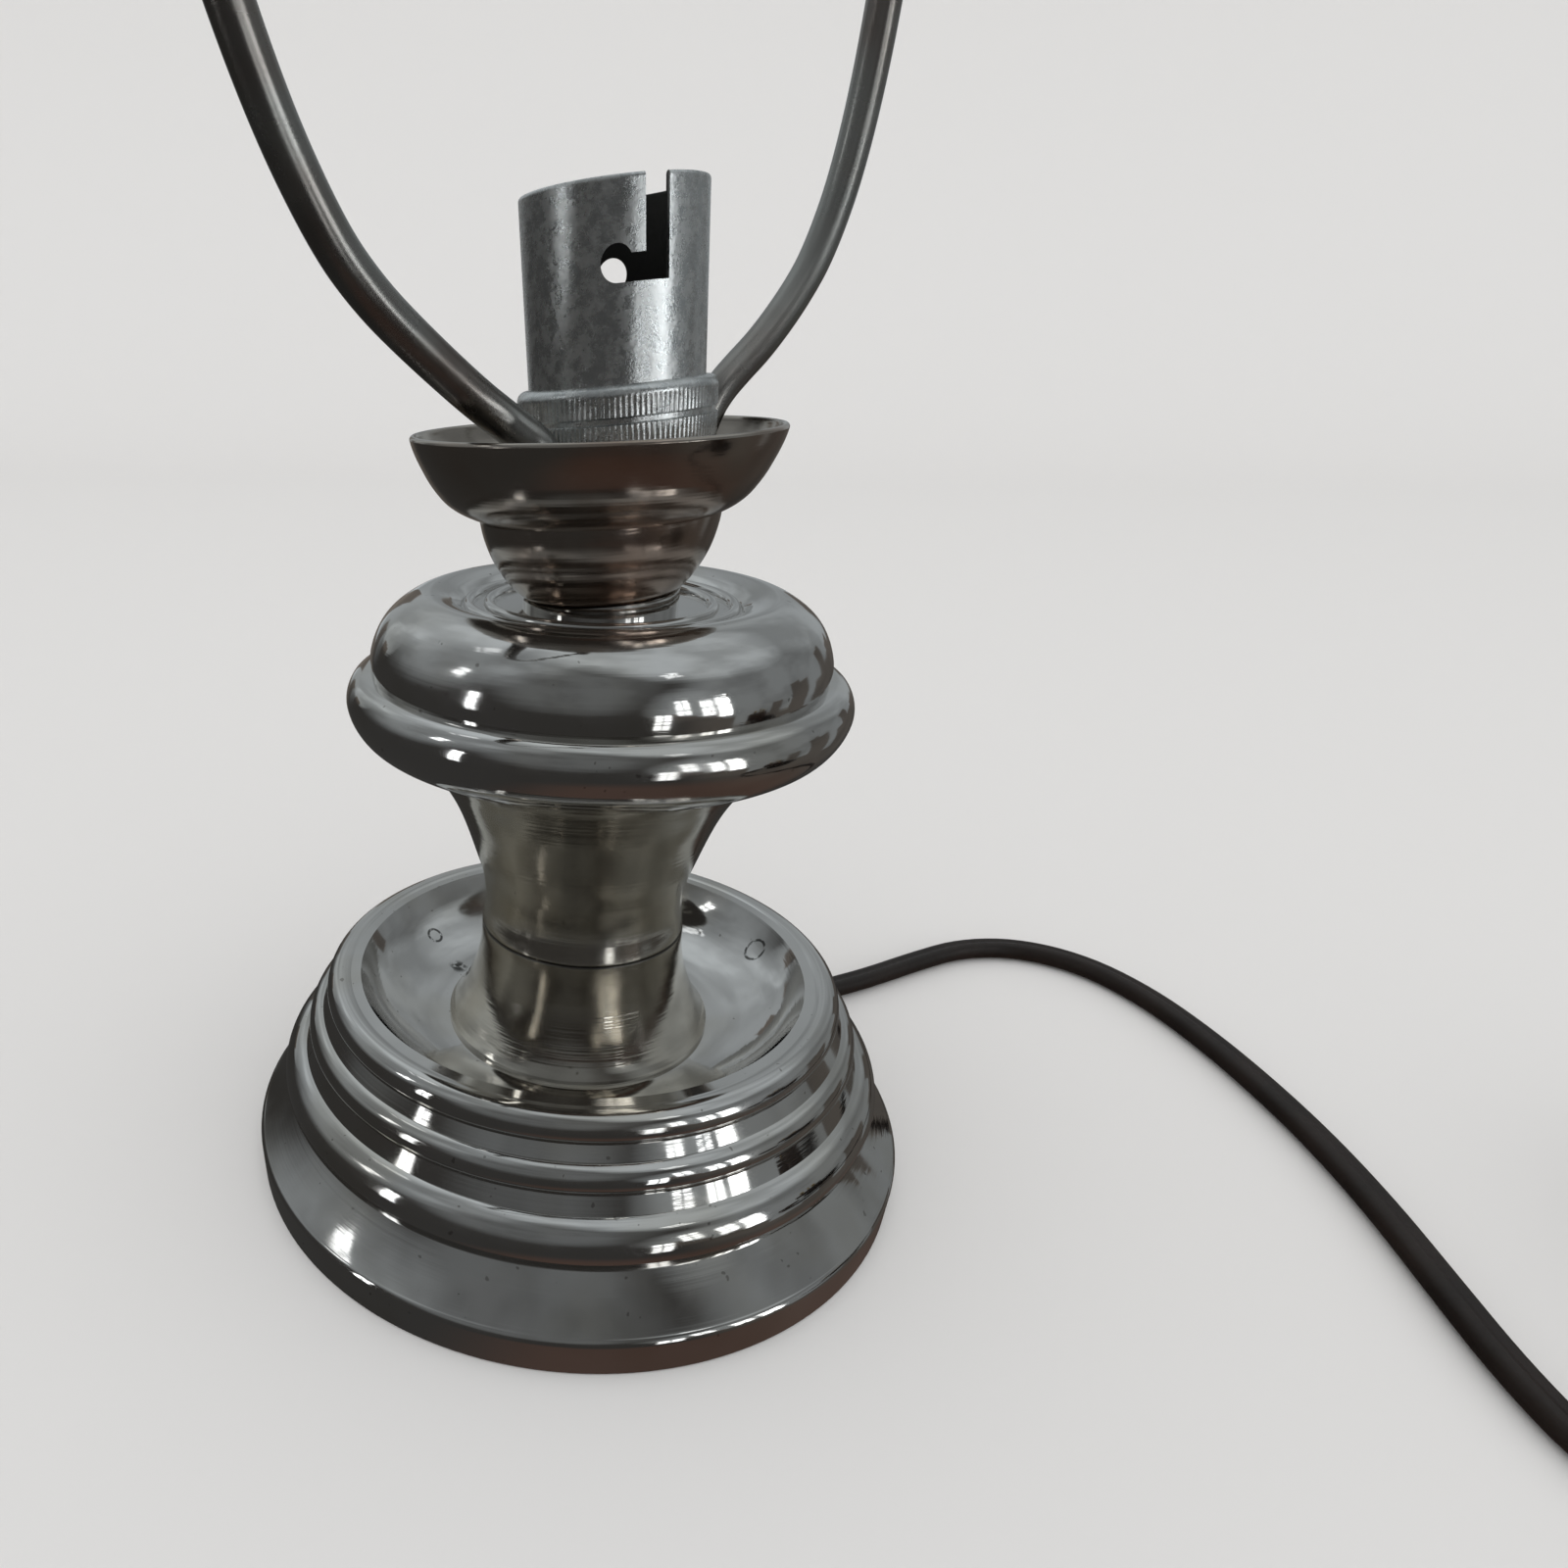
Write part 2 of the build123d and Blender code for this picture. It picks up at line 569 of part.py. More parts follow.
def holder_barrel():
    barrel = tube(HOLDER_R, HOLDER_BORE_R, HOLDER_FOOT, HOLDER_MOUTH)
    barrel = barrel + tube(HOLDER_R - 0.1, HOLDER_SEAT_R, HOLDER_FOOT, SLOT_FLOOR - 0.9)
    barrel = barrel - tube(HOLDER_SEAT_R, 0, HOLDER_FOOT - 1, HOLDER_MOUTH + 1)
    half_entry = degrees(ENTRY_WIDTH / 2 / HOLDER_R)
    for side in (0, 180):
        run = sector(9, 15, SLOT_FLOOR, SLOT_FLOOR + SLOT_H, SEAT_TURN, ENTRY_TURN + half_entry)
        entry = sector(9, 15, SLOT_FLOOR, HOLDER_MOUTH + 1, ENTRY_TURN - half_entry, ENTRY_TURN + half_entry)
        bar = Cylinder(SEAT_R, 8, align=(Align.CENTER, Align.CENTER, Align.MIN), rotation=(0, 90, 0))
        seat = Rot(0, 0, SEAT_TURN) * Pos(8, 0, SLOT_FLOOR + SEAT_R) * bar
        barrel = barrel - Rot(0, 0, side) * run - Rot(0, 0, side) * entry - Rot(0, 0, side) * seat
    return stack(HOLDER_SHIFT) * barrel


def union_ring():
    """The knurled ring that clamps the barrel to the cap."""
    r = RING_R
    waist = r - RING_BAND_DEEP
    ease = RING_ROUND * (1 - cos(radians(45)))
    band = [xz(r, RING_BAND[0]), xz(waist, RING_BAND[1]), xz(waist, RING_BAND[2]), xz(r, RING_BAND[3])]
    side = [xz(CAP_R + RING_GAP, RING_FOOT), xz(r, RING_FOOT)] + band + [xz(r, RING_TOP - RING_ROUND)]
    edge = ThreePointArc(side[-1], xz(r - ease, RING_TOP - ease), xz(r - RING_ROUND, RING_TOP))
    inside = [edge @ 1, xz(HOLDER_R + RING_GAP / 2, RING_TOP), xz(HOLDER_R + RING_GAP / 2, HOLDER_FOOT),
              xz(CAP_R + RING_GAP, HOLDER_FOOT), side[0]]
    lines = [Line(a, b) for points in (side, inside) for a, b in zip(points, points[1:])]
    ring = turned(lines + [edge])
    groove = Box(2 * RING_GROOVE_DEEP, 0.55, RING_TOP - RING_ROUND - RING_FOOT - 0.6, rotation=(0, 0, 45),
                 align=(Align.CENTER, Align.CENTER, Align.MIN))
    step = Pos(r + 0.05, 0, RING_FOOT + 0.4)
    cuts = [Rot(0, 0, 360 * i / RING_GROOVES) * step * groove for i in range(RING_GROOVES)]
    return stack(HOLDER_SHIFT) * (ring - cuts)


def contact_spots():
    """The two contacts lie square to the bayonet seats."""
    turn = radians(SEAT_TURN + 90)
    reach = CONTACT_APART / 2
    return [(reach * cos(turn), reach * sin(turn)), (-reach * cos(turn), -reach * sin(turn))]


def holder_body():
    """The insulating body, with a well for each contact."""
    body = tube(HOLDER_SEAT_R - BODY_GAP, 0, BODY_FOOT, BODY_TOP)
    for x, y in contact_spots():
        body = body - Pos(x, y, 0) * tube(PLUNGER_HEAD_R + PLUNGER_GAP, 0, WELL_FOOT, BODY_TOP + 1)
    return stack(HOLDER_SHIFT) * body


def holder_lid():
    lid = tube(HOLDER_SEAT_R - BODY_GAP, 0, BODY_TOP, BODY_TOP + LID_T)
    for x, y in contact_spots():
        lid = lid - Pos(x, y, 0) * tube(PLUNGER_R + PLUNGER_GAP, 0, BODY_TOP - 1, BODY_TOP + LID_T + 1)
    return stack(HOLDER_SHIFT) * lid


def plunger(x, y):
    foot = BODY_TOP - PLUNGER_HEAD_T
    top = BODY_TOP + LID_T + PLUNGER_OUT
    pin = tube(PLUNGER_HEAD_R, 0, foot, BODY_TOP) + tube(PLUNGER_R, 0, foot, top - PLUNGER_R * 0.5)
    dome = Pos(0, 0, top - PLUNGER_R * 0.5) * Sphere(PLUNGER_R) & tube(PLUNGER_R, 0, top - PLUNGER_R * 0.5, top)
    return stack(HOLDER_SHIFT) * Pos(x, y, 0) * (pin + dome)


def spring(x, y):
    """A plain open coil between the well's floor and the plunger's head."""
    low = WELL_FOOT + SPRING_WIRE
    high = BODY_TOP - PLUNGER_HEAD_T - SPRING_WIRE
    path = Helix((high - low) / SPRING_TURNS, high - low, SPRING_R)
    coil = sweep(Plane(origin=path @ 0, z_dir=path % 0) * Circle(SPRING_WIRE), path=path)
    return stack(HOLDER_SHIFT) * Pos(x, y, low) * coil


def grommet():
    """A ribbed bush in the foot of the base, round the cord."""
    upright = (Align.CENTER, Align.CENTER, Align.MIN)
    bar = Cylinder(GROMMET_R - 0.05, GROMMET_OUT - GROMMET_IN, align=upright, rotation=(0, 90, 0))
    flange = Cylinder(GROMMET_FLANGE_R, GROMMET_FLANGE_T, align=upright, rotation=(0, 90, 0))
    bush = Pos(GROMMET_IN, 0, CORD_EXIT_Z) * bar + Pos(FOOT_R + 0.1, 0, CORD_EXIT_Z) * flange
    bush = bush & Box(3 * FOOT_R, 40, 40, align=(Align.CENTER, Align.CENTER, Align.MIN))
    return Rot(0, 0, CORD_TURN) * bush - cord_hole(CORD_R)


def inner_cord():
    """The cord's first stretch, from the foot's hole to the middle of the weight."""
    points = [around(GROMMET_OUT - back, CORD_TURN, CORD_EXIT_Z + rise) for back, rise in INNER_RUN]
    return swept(points, CORD_R, "inner_cord")


def floor_cut(solid):
    """Trims whatever reaches below the table."""
    return solid - Box(900, 900, 20, align=(Align.CENTER, Align.CENTER, Align.MAX))


def cord_run():
    lead = [around(GROMMET_OUT, CORD_TURN, CORD_EXIT_Z), around(GROMMET_OUT + LEAD_OUT, CORD_TURN, CORD_EXIT_Z)]
    return floor_cut(swept(lead + list(CORD_RUN), CORD_R, "cord_run"))


def link_run():
    """The cord from the switch to the coil; it meets the coil square, one diameter before its first turn."""
    (start, way), *_ = coil_marks()
    end = start - way * 2 * CORD_R
    before = end - way * LEAD_IN
    return floor_cut(swept(list(LINK_RUN) + [tuple(before), tuple(end)], CORD_R, "link_run"))


def coil_spot(turns):
    """Where the coil's middle line is after so many turns."""
    per_layer = COIL_TURNS / COIL_LAYERS
    layer = min(int(turns / per_layer), COIL_LAYERS - 1)
    part = turns - layer * per_layer
    inward = layer % 2 == 0
    radius = COIL_OUT_R - COIL_STEP * (part if inward else per_layer - part)
    climb = 0.0
    for step in range(1, COIL_LAYERS):
        rise = (turns - step * per_layer + 0.25) / 0.5
        rise = max(0.0, min(1.0, rise))
        climb += COIL_STEP * (rise * rise * (3 - 2 * rise))
    angle = COIL_START + 360 * turns
    x = COIL_X + radius * cos(radians(angle))
    y = COIL_Y + radius * sin(radians(angle))
    return Vector(x, y, CORD_R - COIL_FLAT + climb)


def biarc(p0, t0, p1, t1):
    """Two arcs from p0 to p1 that leave along t0, arrive along t1 and share a tangent."""
    v = p1 - p0
    t = t0 + t1
    spread = 2 * (1 - t0.dot(t1))
    reach = (-v.dot(t) + sqrt(v.dot(t) ** 2 + spread * v.dot(v))) / spread
    a = p0 + t0 * reach
    b = p1 - t1 * reach
    join = (a + b) * 0.5
    return [arc_by_apex(p0, a, join), arc_by_apex(join, b, p1)]


def arc_by_apex(start, apex, end):
    """The arc that touches both lines to apex."""
    middle = (start + end) * 0.5
    half = (end - start).length / 2
    side = (apex - start).length
    phi = atan2(sqrt(max(side ** 2 - half ** 2, 1e-12)), half)
    return ThreePointArc(start, middle + (apex - middle) * (tan(phi / 2) / tan(phi)), end)


def coil_marks():
    count = int(round(COIL_TURNS * 4))
    marks = []
    small = 1e-4
    for i in range(count + 1):
        turns = COIL_TURNS * i / count
        before = coil_spot(max(turns - small, 0))
        after = coil_spot(min(turns + small, COIL_TURNS))
        marks.append((coil_spot(turns), (after - before).normalized()))
    return marks


def coil_path():
    marks = coil_marks()
    edges = []
    for (p0, t0), (p1, t1) in zip(marks, marks[1:]):
        edges += biarc(p0, t0, p1, t1)
    (first, way_in), (last, way_out) = marks[0], marks[-1]
    lead = Line(first - way_in * 2 * CORD_R, first)
    tail = Line(last, last + way_out * 2 * CORD_R)
    return Wire([lead] + edges + [tail])


def coil_gap(path):
    """The least gap between turns, measured on points along the middle line."""
    count = int(path.length / 1.5)
    spots = [path @ (i / count) for i in range(count + 1)]
    skip = int(25 / 1.5)
    least = 1e9
    for i in range(len(spots)):
        for j in range(i + skip, len(spots)):
            least = min(least, (spots[i] - spots[j]).length)
    return least - 2 * CORD_R


def cord_coil():
    path = coil_path()
    print("cord_coil length", round(path.length, 1), "least gap to itself", round(coil_gap(path), 2))
    bar = sweep(Plane(origin=path @ 0, z_dir=path % 0) * Circle(CORD_R), path=path)
    print("cord_coil volume over section times length", round(bar.volume / (pi * CORD_R ** 2 * path.length), 4))
    return floor_cut(bar)


def tail_points():
    last, way = coil_marks()[-1]
    start = last + way * 2 * CORD_R
    return [tuple(start), tuple(start + way * LEAD_IN)] + [tuple(last + Vector(*step)) for step in TAIL_RUN]


def cord_tail():
    return swept(tail_points(), CORD_R, "cord_tail")


def rounded_block(wide, long, height, round_r, z0):
    """A block with rounded upright corners, from y = 0 towards -Y."""
    face = Plane.XY.offset(z0) * Pos(0, -long / 2) * RectangleRounded(wide, long, round_r)
    return extrude(face, height)


def switch_place():
    return Location((SWITCH_X, SWITCH_Y, 0), (0, 0, 90))


def cord_bore():
    bar = Cylinder(CORD_R + 0.02, SWITCH_LONG + 20, rotation=(90, 0, 0))
    return Pos(0, -SWITCH_LONG / 2, 4.2) * bar


def switch_low():
    shell = rounded_block(SWITCH_WIDE, SWITCH_LONG, SWITCH_LOW_H, SWITCH_ROUND, 0)
    upright = (Align.CENTER, Align.CENTER, Align.MIN)
    pocket = Pos(0, -SWITCH_LONG / 2, 6.2) * Box(ROCKER_WIDE + 3, ROCKER_LONG + 6, 10, align=upright)
    return switch_place() * (shell - pocket)


def switch_top():
    shell = rounded_block(SWITCH_WIDE, SWITCH_LONG, SWITCH_TOP_H, SWITCH_ROUND, SWITCH_LOW_H)
    shell = fillet(shell.faces().sort_by(Axis.Z)[-1].edges(), 1.8)
    window = Pos(0, -SWITCH_LONG / 2, SWITCH_LOW_H - 1) * Box(ROCKER_WIDE + 2 * ROCKER_GAP, ROCKER_LONG + 4 * ROCKER_GAP, 20,
                                                              align=(Align.CENTER, Align.CENTER, Align.MIN))
    shell = shell - window
    for y in (-8.0, -SWITCH_LONG + 8.0):
        shell = shell - Pos(0, y, 0) * tube(SCREW_R + 0.15, 0, SWITCH_LOW_H + SWITCH_TOP_H - 1.6, 20)
    return switch_place() * shell


def rocker_pivot():
    return Location((SWITCH_X + SWITCH_LONG / 2, SWITCH_Y, ROCKER_Z), (0, 0, 90))


def switch_rocker():
    """The rocker, tipped to its off side, with its underside clear of the pocket."""
    half = ROCKER_LONG / 2
    outline = Polyline((0, -half, -2.2), (0, half, -2.2), (0, half, 3.6), (0, 0, 4.8), (0, -half, 3.6), close=True)
    block = extrude(make_face(outline), ROCKER_WIDE / 2, both=True)
    return rocker_pivot() * Rot(ROCKER_TILT, 0, 0) * block


def switch_screw(y):
    head = tube(SCREW_R, 0, SWITCH_LOW_H + SWITCH_TOP_H - 1.6, SWITCH_LOW_H + SWITCH_TOP_H - 0.3)
    slot = Pos(0, 0, SWITCH_LOW_H + SWITCH_TOP_H) * Box(5, 0.6, 1.2)
    return switch_place() * Pos(0, y, 0) * (head - slot)


def plug_place():
    """The plug lies on the coil, with the cord's end in its face."""
    x, y, z = tail_points()[-1]
    return Location((x, y, z - PLUG_CORD_Z), (0, 0, 90))


def plug_low():
    place = plug_place()
    shell = rounded_block(PLUG_WIDE, PLUG_LONG, PLUG_LOW_H, PLUG_ROUND, 0)
    return place * shell


def plug_top():
    place = plug_place()
    shell = rounded_block(PLUG_WIDE, PLUG_LONG, PLUG_TOP_H, PLUG_ROUND, PLUG_LOW_H)
    shell = fillet(shell.faces().sort_by(Axis.Z)[-1].edges(), 1.5)
    return place * shell


def plug_pins():
    """Two flat pins and a longer earth pin, standing up from the plug's back."""
    place = plug_place()
    top = PLUG_LOW_H + PLUG_TOP_H
    pins = []
    spots = ((-PIN_APART / 2, -PIN_BACK, PIN_LONG), (PIN_APART / 2, -PIN_BACK, PIN_LONG),
             (0.0, -PIN_BACK - PIN_EARTH_UP + 2, PIN_EARTH))
    for x, y, size in spots:
        pin = Pos(x, y, top) * Box(*size, align=(Align.CENTER, Align.CENTER, Align.MIN))
        pins.append(place * chamfer(pin.faces().sort_by(Axis.Z)[-1].edges(), 0.8))
    return pins


def save(node, solid):
    export_step(solid, "parts/" + node + ".step")
    box = solid.bounding_box()
    print(node, "volume", round(solid.volume, 1), "valid", solid.is_valid,
          "z", round(box.min.Z, 2), round(box.max.Z, 2))


def main():
    os.makedirs("parts", exist_ok=True)
    save("base_shell", base_shell())
    save("base_pad", base_pad())
    save("base_weight", base_weight())
    save("base_washer", washer(PAD_THICK + WEIGHT_PIT_H - WASHER_T))
    save("base_nut", hex_nut(PAD_THICK + WEIGHT_PIT_H - WASHER_T - NUT_H, NUT_AF, NUT_H, ROD_R + THREAD_GAP))
    save("tie_rod", tie_rod())
    save("deck_spacer", deck_spacer())
    save("column_foot", column_foot())
    save("column_stem", column_stem())
    save("knop_rim", knop_rim())
    save("knop_dome", knop_dome())
    save("coupling_block", coupling_block())
    save("neck_collar", neck_collar())
    save("lower_bowl", lower_bowl())
    save("drip_cup", drip_cup())
    save("nipple", nipple())
    save("bowl_washer", bowl_washer())
    save("stack_spacer", stack_spacer())
    save("cup_packing", cup_packing())
    save("harp_saddle", harp_saddle())
    save("harp_loop", harp_loop())
    save("harp_boss", harp_boss())
    save("finial", finial())
    save("holder_cap", holder_cap())
    save("cap_nut", cap_nut())
    save("holder_barrel", holder_barrel())
    save("union_ring", union_ring())
    save("holder_body", holder_body())
    save("holder_lid", holder_lid())
    for name, (x, y) in zip(("right", "left"), contact_spots()):
        save("plunger_" + name, plunger(x, y))
        save("spring_" + name, spring(x, y))
    save("grommet", grommet())
    save("inner_cord", inner_cord())
    save("cord_run", cord_run())
    save("switch_low", switch_low())
    save("switch_top", switch_top())
    save("switch_rocker", switch_rocker())
    save("switch_screw_near", switch_screw(-8.0))
    save("switch_screw_far", switch_screw(-SWITCH_LONG + 8.0))
    save("link_run", link_run())
    save("cord_coil", cord_coil())
    save("cord_tail", cord_tail())
    save("plug_low", plug_low())
    save("plug_top", plug_top())
    for name, pin in zip(("live", "neutral", "earth"), plug_pins()):
        save("plug_pin_" + name, pin)


main()
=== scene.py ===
# %% [markdown]
# # A small polished table lamp with a mushroom-shaped knop
# The real lamp is turned and spun metal, plated and polished: a stepped base with a dished deck, a flared column, a
# knop with a rolled rim, a small bowl, a drip cup, a satin grey bayonet lampholder and a round wire harp. A dark twin
# cord leaves behind the base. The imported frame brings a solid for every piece, and this script dresses them. Outlines
# are written in millimetres, and everything is built in metres.

# %% Setup
import json
from math import cos, pi, radians, sin, sqrt
import bmesh
import bpy
from mathutils import Matrix, Vector

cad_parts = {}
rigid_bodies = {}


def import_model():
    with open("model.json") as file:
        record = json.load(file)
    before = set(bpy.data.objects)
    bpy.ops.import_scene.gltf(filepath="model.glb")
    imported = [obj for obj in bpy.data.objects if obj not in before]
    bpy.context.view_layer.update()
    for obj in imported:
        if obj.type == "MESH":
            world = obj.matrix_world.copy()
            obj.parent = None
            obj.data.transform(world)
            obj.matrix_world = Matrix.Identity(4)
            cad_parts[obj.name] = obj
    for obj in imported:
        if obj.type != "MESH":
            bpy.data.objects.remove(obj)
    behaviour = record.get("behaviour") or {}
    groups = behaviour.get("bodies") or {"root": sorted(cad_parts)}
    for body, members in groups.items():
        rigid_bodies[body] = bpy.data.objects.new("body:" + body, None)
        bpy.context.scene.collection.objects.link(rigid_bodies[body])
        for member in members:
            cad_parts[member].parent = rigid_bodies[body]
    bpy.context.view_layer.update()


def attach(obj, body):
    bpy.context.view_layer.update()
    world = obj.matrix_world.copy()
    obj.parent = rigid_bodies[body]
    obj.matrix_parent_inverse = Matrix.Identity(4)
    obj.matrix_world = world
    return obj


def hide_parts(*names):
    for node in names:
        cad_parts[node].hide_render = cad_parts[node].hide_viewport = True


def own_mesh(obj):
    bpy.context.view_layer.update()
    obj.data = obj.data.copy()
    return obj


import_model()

scene = bpy.context.scene
MM = 0.001


def link(obj):
    """Puts a new object into the scene."""
    scene.collection.objects.link(obj)
    return obj


# %% [markdown]
# ## Camera
# The photograph looks down on the lamp from the front, and its picture is cut off-centre. A camera can be tilted until
# the picture fits, but then upright edges lean. So it keeps the direction of the real one, and the lens is shifted.

# %% Camera
LENS = 22.676
LENS_SHIFT = (0.191, 0.1292)
CAMERA_SPOT = (0.0, -0.16174, 0.13588)
CAMERA_TURNS = (("Z", 6.42), ("X", 57.109), ("Z", -0.141))

cam_data = bpy.data.cameras.new("camera")
cam_data.sensor_width = 36.0
cam_data.lens = LENS
cam_data.shift_x, cam_data.shift_y = LENS_SHIFT
cam_data.clip_start = 0.01
camera = link(bpy.data.objects.new("camera", cam_data))
camera_place = Matrix.Translation(CAMERA_SPOT)
for axis, degrees in CAMERA_TURNS:
    camera_place = camera_place @ Matrix.Rotation(radians(degrees), 4, axis)
camera.matrix_world = camera_place
scene.camera = camera
print("camera height", CAMERA_SPOT[2])

# %% [markdown]
# ## Cord
# A lamp's cord is a fixed length of twin flex that lies where it falls. Its route could be drawn by hand as a mesh, but
# a spline through a few control points bends as evenly as real flex does. The spline cuts just inside its points. The
# free run goes from behind the base to the switch. A second piece goes from the switch to the coil, round it, and to
# the plug that lies on it.

# %% Routes of the cord
CORD_RUN = (
    (0.0498, 0.0418, 0.0037), (0.0544, 0.0456, 0.0037), (0.0618, 0.0510, 0.0030), (0.0725, 0.0576, 0.0026),
    (0.0860, 0.0668, 0.0026), (0.0995, 0.0750, 0.0026), (0.1145, 0.0770, 0.0026), (0.1285, 0.0704, 0.0026),
    (0.1380, 0.0565, 0.0026), (0.1436, 0.0395, 0.0026), (0.1472, 0.0215, 0.0026), (0.1492, 0.0035, 0.0026),
    (0.1494, -0.0145, 0.0026), (0.1482, -0.0325, 0.0026), (0.1472, -0.0490, 0.0026), (0.1484, -0.0640, 0.0026),
    (0.1574, -0.0796, 0.0026), (0.1728, -0.0886, 0.0034), (0.1903, -0.0886, 0.0042),
)
LINK_RUN = (
    (0.2483, -0.0886, 0.0042), (0.2593, -0.0886, 0.0036), (0.2727, -0.0808, 0.0028), (0.2802, -0.0674, 0.0023),
)
TAIL_RUN = (
    (-0.0308, 0.0, 0.0020), (-0.0472, -0.0164, 0.0045), (-0.0472, -0.0396, 0.0075), (-0.0308, -0.0560, 0.0102),
    (-0.0110, -0.0560, 0.0102),
)
print("free run's points", len(CORD_RUN))

# %% [markdown]
# The spare flex is wound in one unbroken line: it spirals in, climbs a layer, spirals out, and so on. A formula gives
# that more truly than points set by hand, because every turn then lies one cord's width from the next.

# %% Coil
COIL_MID = (0.2466, -0.0372)
COIL_OUT = 0.0338
COIL_STEP = 0.00595
COIL_LAYERS = 4
COIL_TURNS = 7.25
COIL_POINTS_A_TURN = 16
COIL_FLOOR = 0.0021
LEADS = (0.0172, 0.0052)


def coil_spot(turns):
    """The coil spirals in and out again, and climbs a layer in the half turn where it reverses."""
    a_layer = COIL_TURNS / COIL_LAYERS
    layer = min(int(turns / a_layer), COIL_LAYERS - 1)
    part = turns - layer * a_layer
    radius = COIL_OUT - COIL_STEP * (part if layer % 2 == 0 else a_layer - part)
    climb = 0.0
    for step in range(1, COIL_LAYERS):
        rise = min(max((turns - step * a_layer + 0.25) / 0.5, 0.0), 1.0)
        climb += COIL_STEP * rise * rise * (3 - 2 * rise)
    angle = radians(360 * turns)
    return Vector((COIL_MID[0] + radius * cos(angle), COIL_MID[1] + radius * sin(angle), COIL_FLOOR + climb))


coil_count = int(COIL_TURNS * COIL_POINTS_A_TURN)
coil_points = [coil_spot(COIL_TURNS * i / coil_count) for i in range(coil_count + 1)]
way_in = (coil_spot(0.001) - coil_spot(0)).normalized()
way_out = (coil_spot(COIL_TURNS) - coil_spot(COIL_TURNS - 0.001)).normalized()
lead_in = [coil_points[0] - way_in * far for far in LEADS]
lead_out = [coil_points[-1] + way_out * far for far in reversed(LEADS)]
tail_points = [coil_points[-1] + Vector(step) for step in TAIL_RUN]
print("coil points", len(coil_points))

# %% [markdown]
# A twin cord has two cores side by side, so its outline has a shallow groove above and below. A round bevel can't show
# it. The outline is carried along the spline instead, and its wide side stays level as it does on a table.

# %% Skin of the cord
CORE_MID = 1.0
CORE_WIDE = 1.6
CORE_TALL = 2.15
GROOVE_TURN = radians(128.7)


def mesh_object(name, bm, crease):
    """Finishes a mesh: outward faces, smooth shading and sharp creases."""
    bmesh.ops.recalc_face_normals(bm, faces=bm.faces)
    mesh = bpy.data.meshes.new(name)
    bm.to_mesh(mesh)
    bm.free()
    mesh.shade_smooth()
    mesh.set_sharp_from_angle(angle=radians(crease))
    return link(bpy.data.objects.new(name, mesh))


def route_line(name, points):
    """The evaluated points of a smooth spline with these control points."""
    data = bpy.data.curves.new(name, "CURVE")
    data.dimensions = "3D"
    data.resolution_u = 5
    spline = data.splines.new("NURBS")
    spline.points.add(len(points) - 1)
    for spot, point in zip(spline.points, points):
        spot.co = (*point, 1.0)
    spline.order_u = 3
    spline.use_endpoint_u = True
    curve = link(bpy.data.objects.new(name, data))
    mesh = bpy.data.meshes.new_from_object(curve.evaluated_get(bpy.context.evaluated_depsgraph_get()))
    line = [v.co.copy() for v in mesh.vertices]
    bpy.data.objects.remove(curve)
    return line


def twin_section(steps=10):
    """The outline of both cores, each from groove to groove; millimetres."""
    core = []
    for i in range(2 * steps + 1):
        turned = GROOVE_TURN - 2 * GROOVE_TURN * i / (2 * steps)
        core.append((CORE_MID + CORE_WIDE * cos(turned), CORE_TALL * sin(turned)))
    return core[1:-1] + [(-x, -y) for x, y in core[1:-1]]


def cord_along(name, line):
    """A skin round the line; the wide side stays level."""
    section = twin_section()
    bm = bmesh.new()
    rings = []
    for i, spot in enumerate(line):
        way = (line[min(i + 1, len(line) - 1)] - line[max(i - 1, 0)]).normalized()
        side = Vector((0, 0, 1)).cross(way).normalized()
        up = way.cross(side)
        rings.append([bm.verts.new(spot + (side * x + up * y) * MM) for x, y in section])
    for a, b in zip(rings, rings[1:]):
        for j in range(len(section)):
            k = (j + 1) % len(section)
            bm.faces.new((a[j], a[k], b[k], b[j]))
    bm.faces.new(rings[0])
    bm.faces.new(list(reversed(rings[-1])))
    return mesh_object(name, bm, 40)


run_line = route_line("run_route", CORD_RUN)
cord = cord_along("cord", run_line)
lead_points = [Vector(p) for p in LINK_RUN] + lead_in + coil_points + lead_out + tail_points
rest_line = route_line("rest_route", lead_points)
lead = cord_along("lead", rest_line)
print("free run", round(sum((b - a).length for a, b in zip(run_line, run_line[1:])), 4))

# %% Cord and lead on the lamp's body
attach(cord, "lamp")
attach(lead, "lamp")
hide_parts("cord_run")
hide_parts("link_run", "cord_coil", "cord_tail")
print("cord and lead laid")

# %% [markdown]
# ## Turned shapes
# The base, the column, the knop, the bowl and the cup are spun from sheet over a form, so each is the same all round.
# A Screw modifier would turn an outline too, but a mesh made ring by ring lets the same function press in a knurl. Each
# piece is one closed outline of (radius, height), turned round the upright axis.

# %% Outline helpers
def arc(mid_r, mid_z, radius, start, end, steps=10):
    """Points along an arc, with its angles in degrees."""
    out = []
    for i in range(steps + 1):
        a = radians(start + (end - start) * i / steps)
        out.append((mid_r + radius * cos(a), mid_z + radius * sin(a)))
    return out


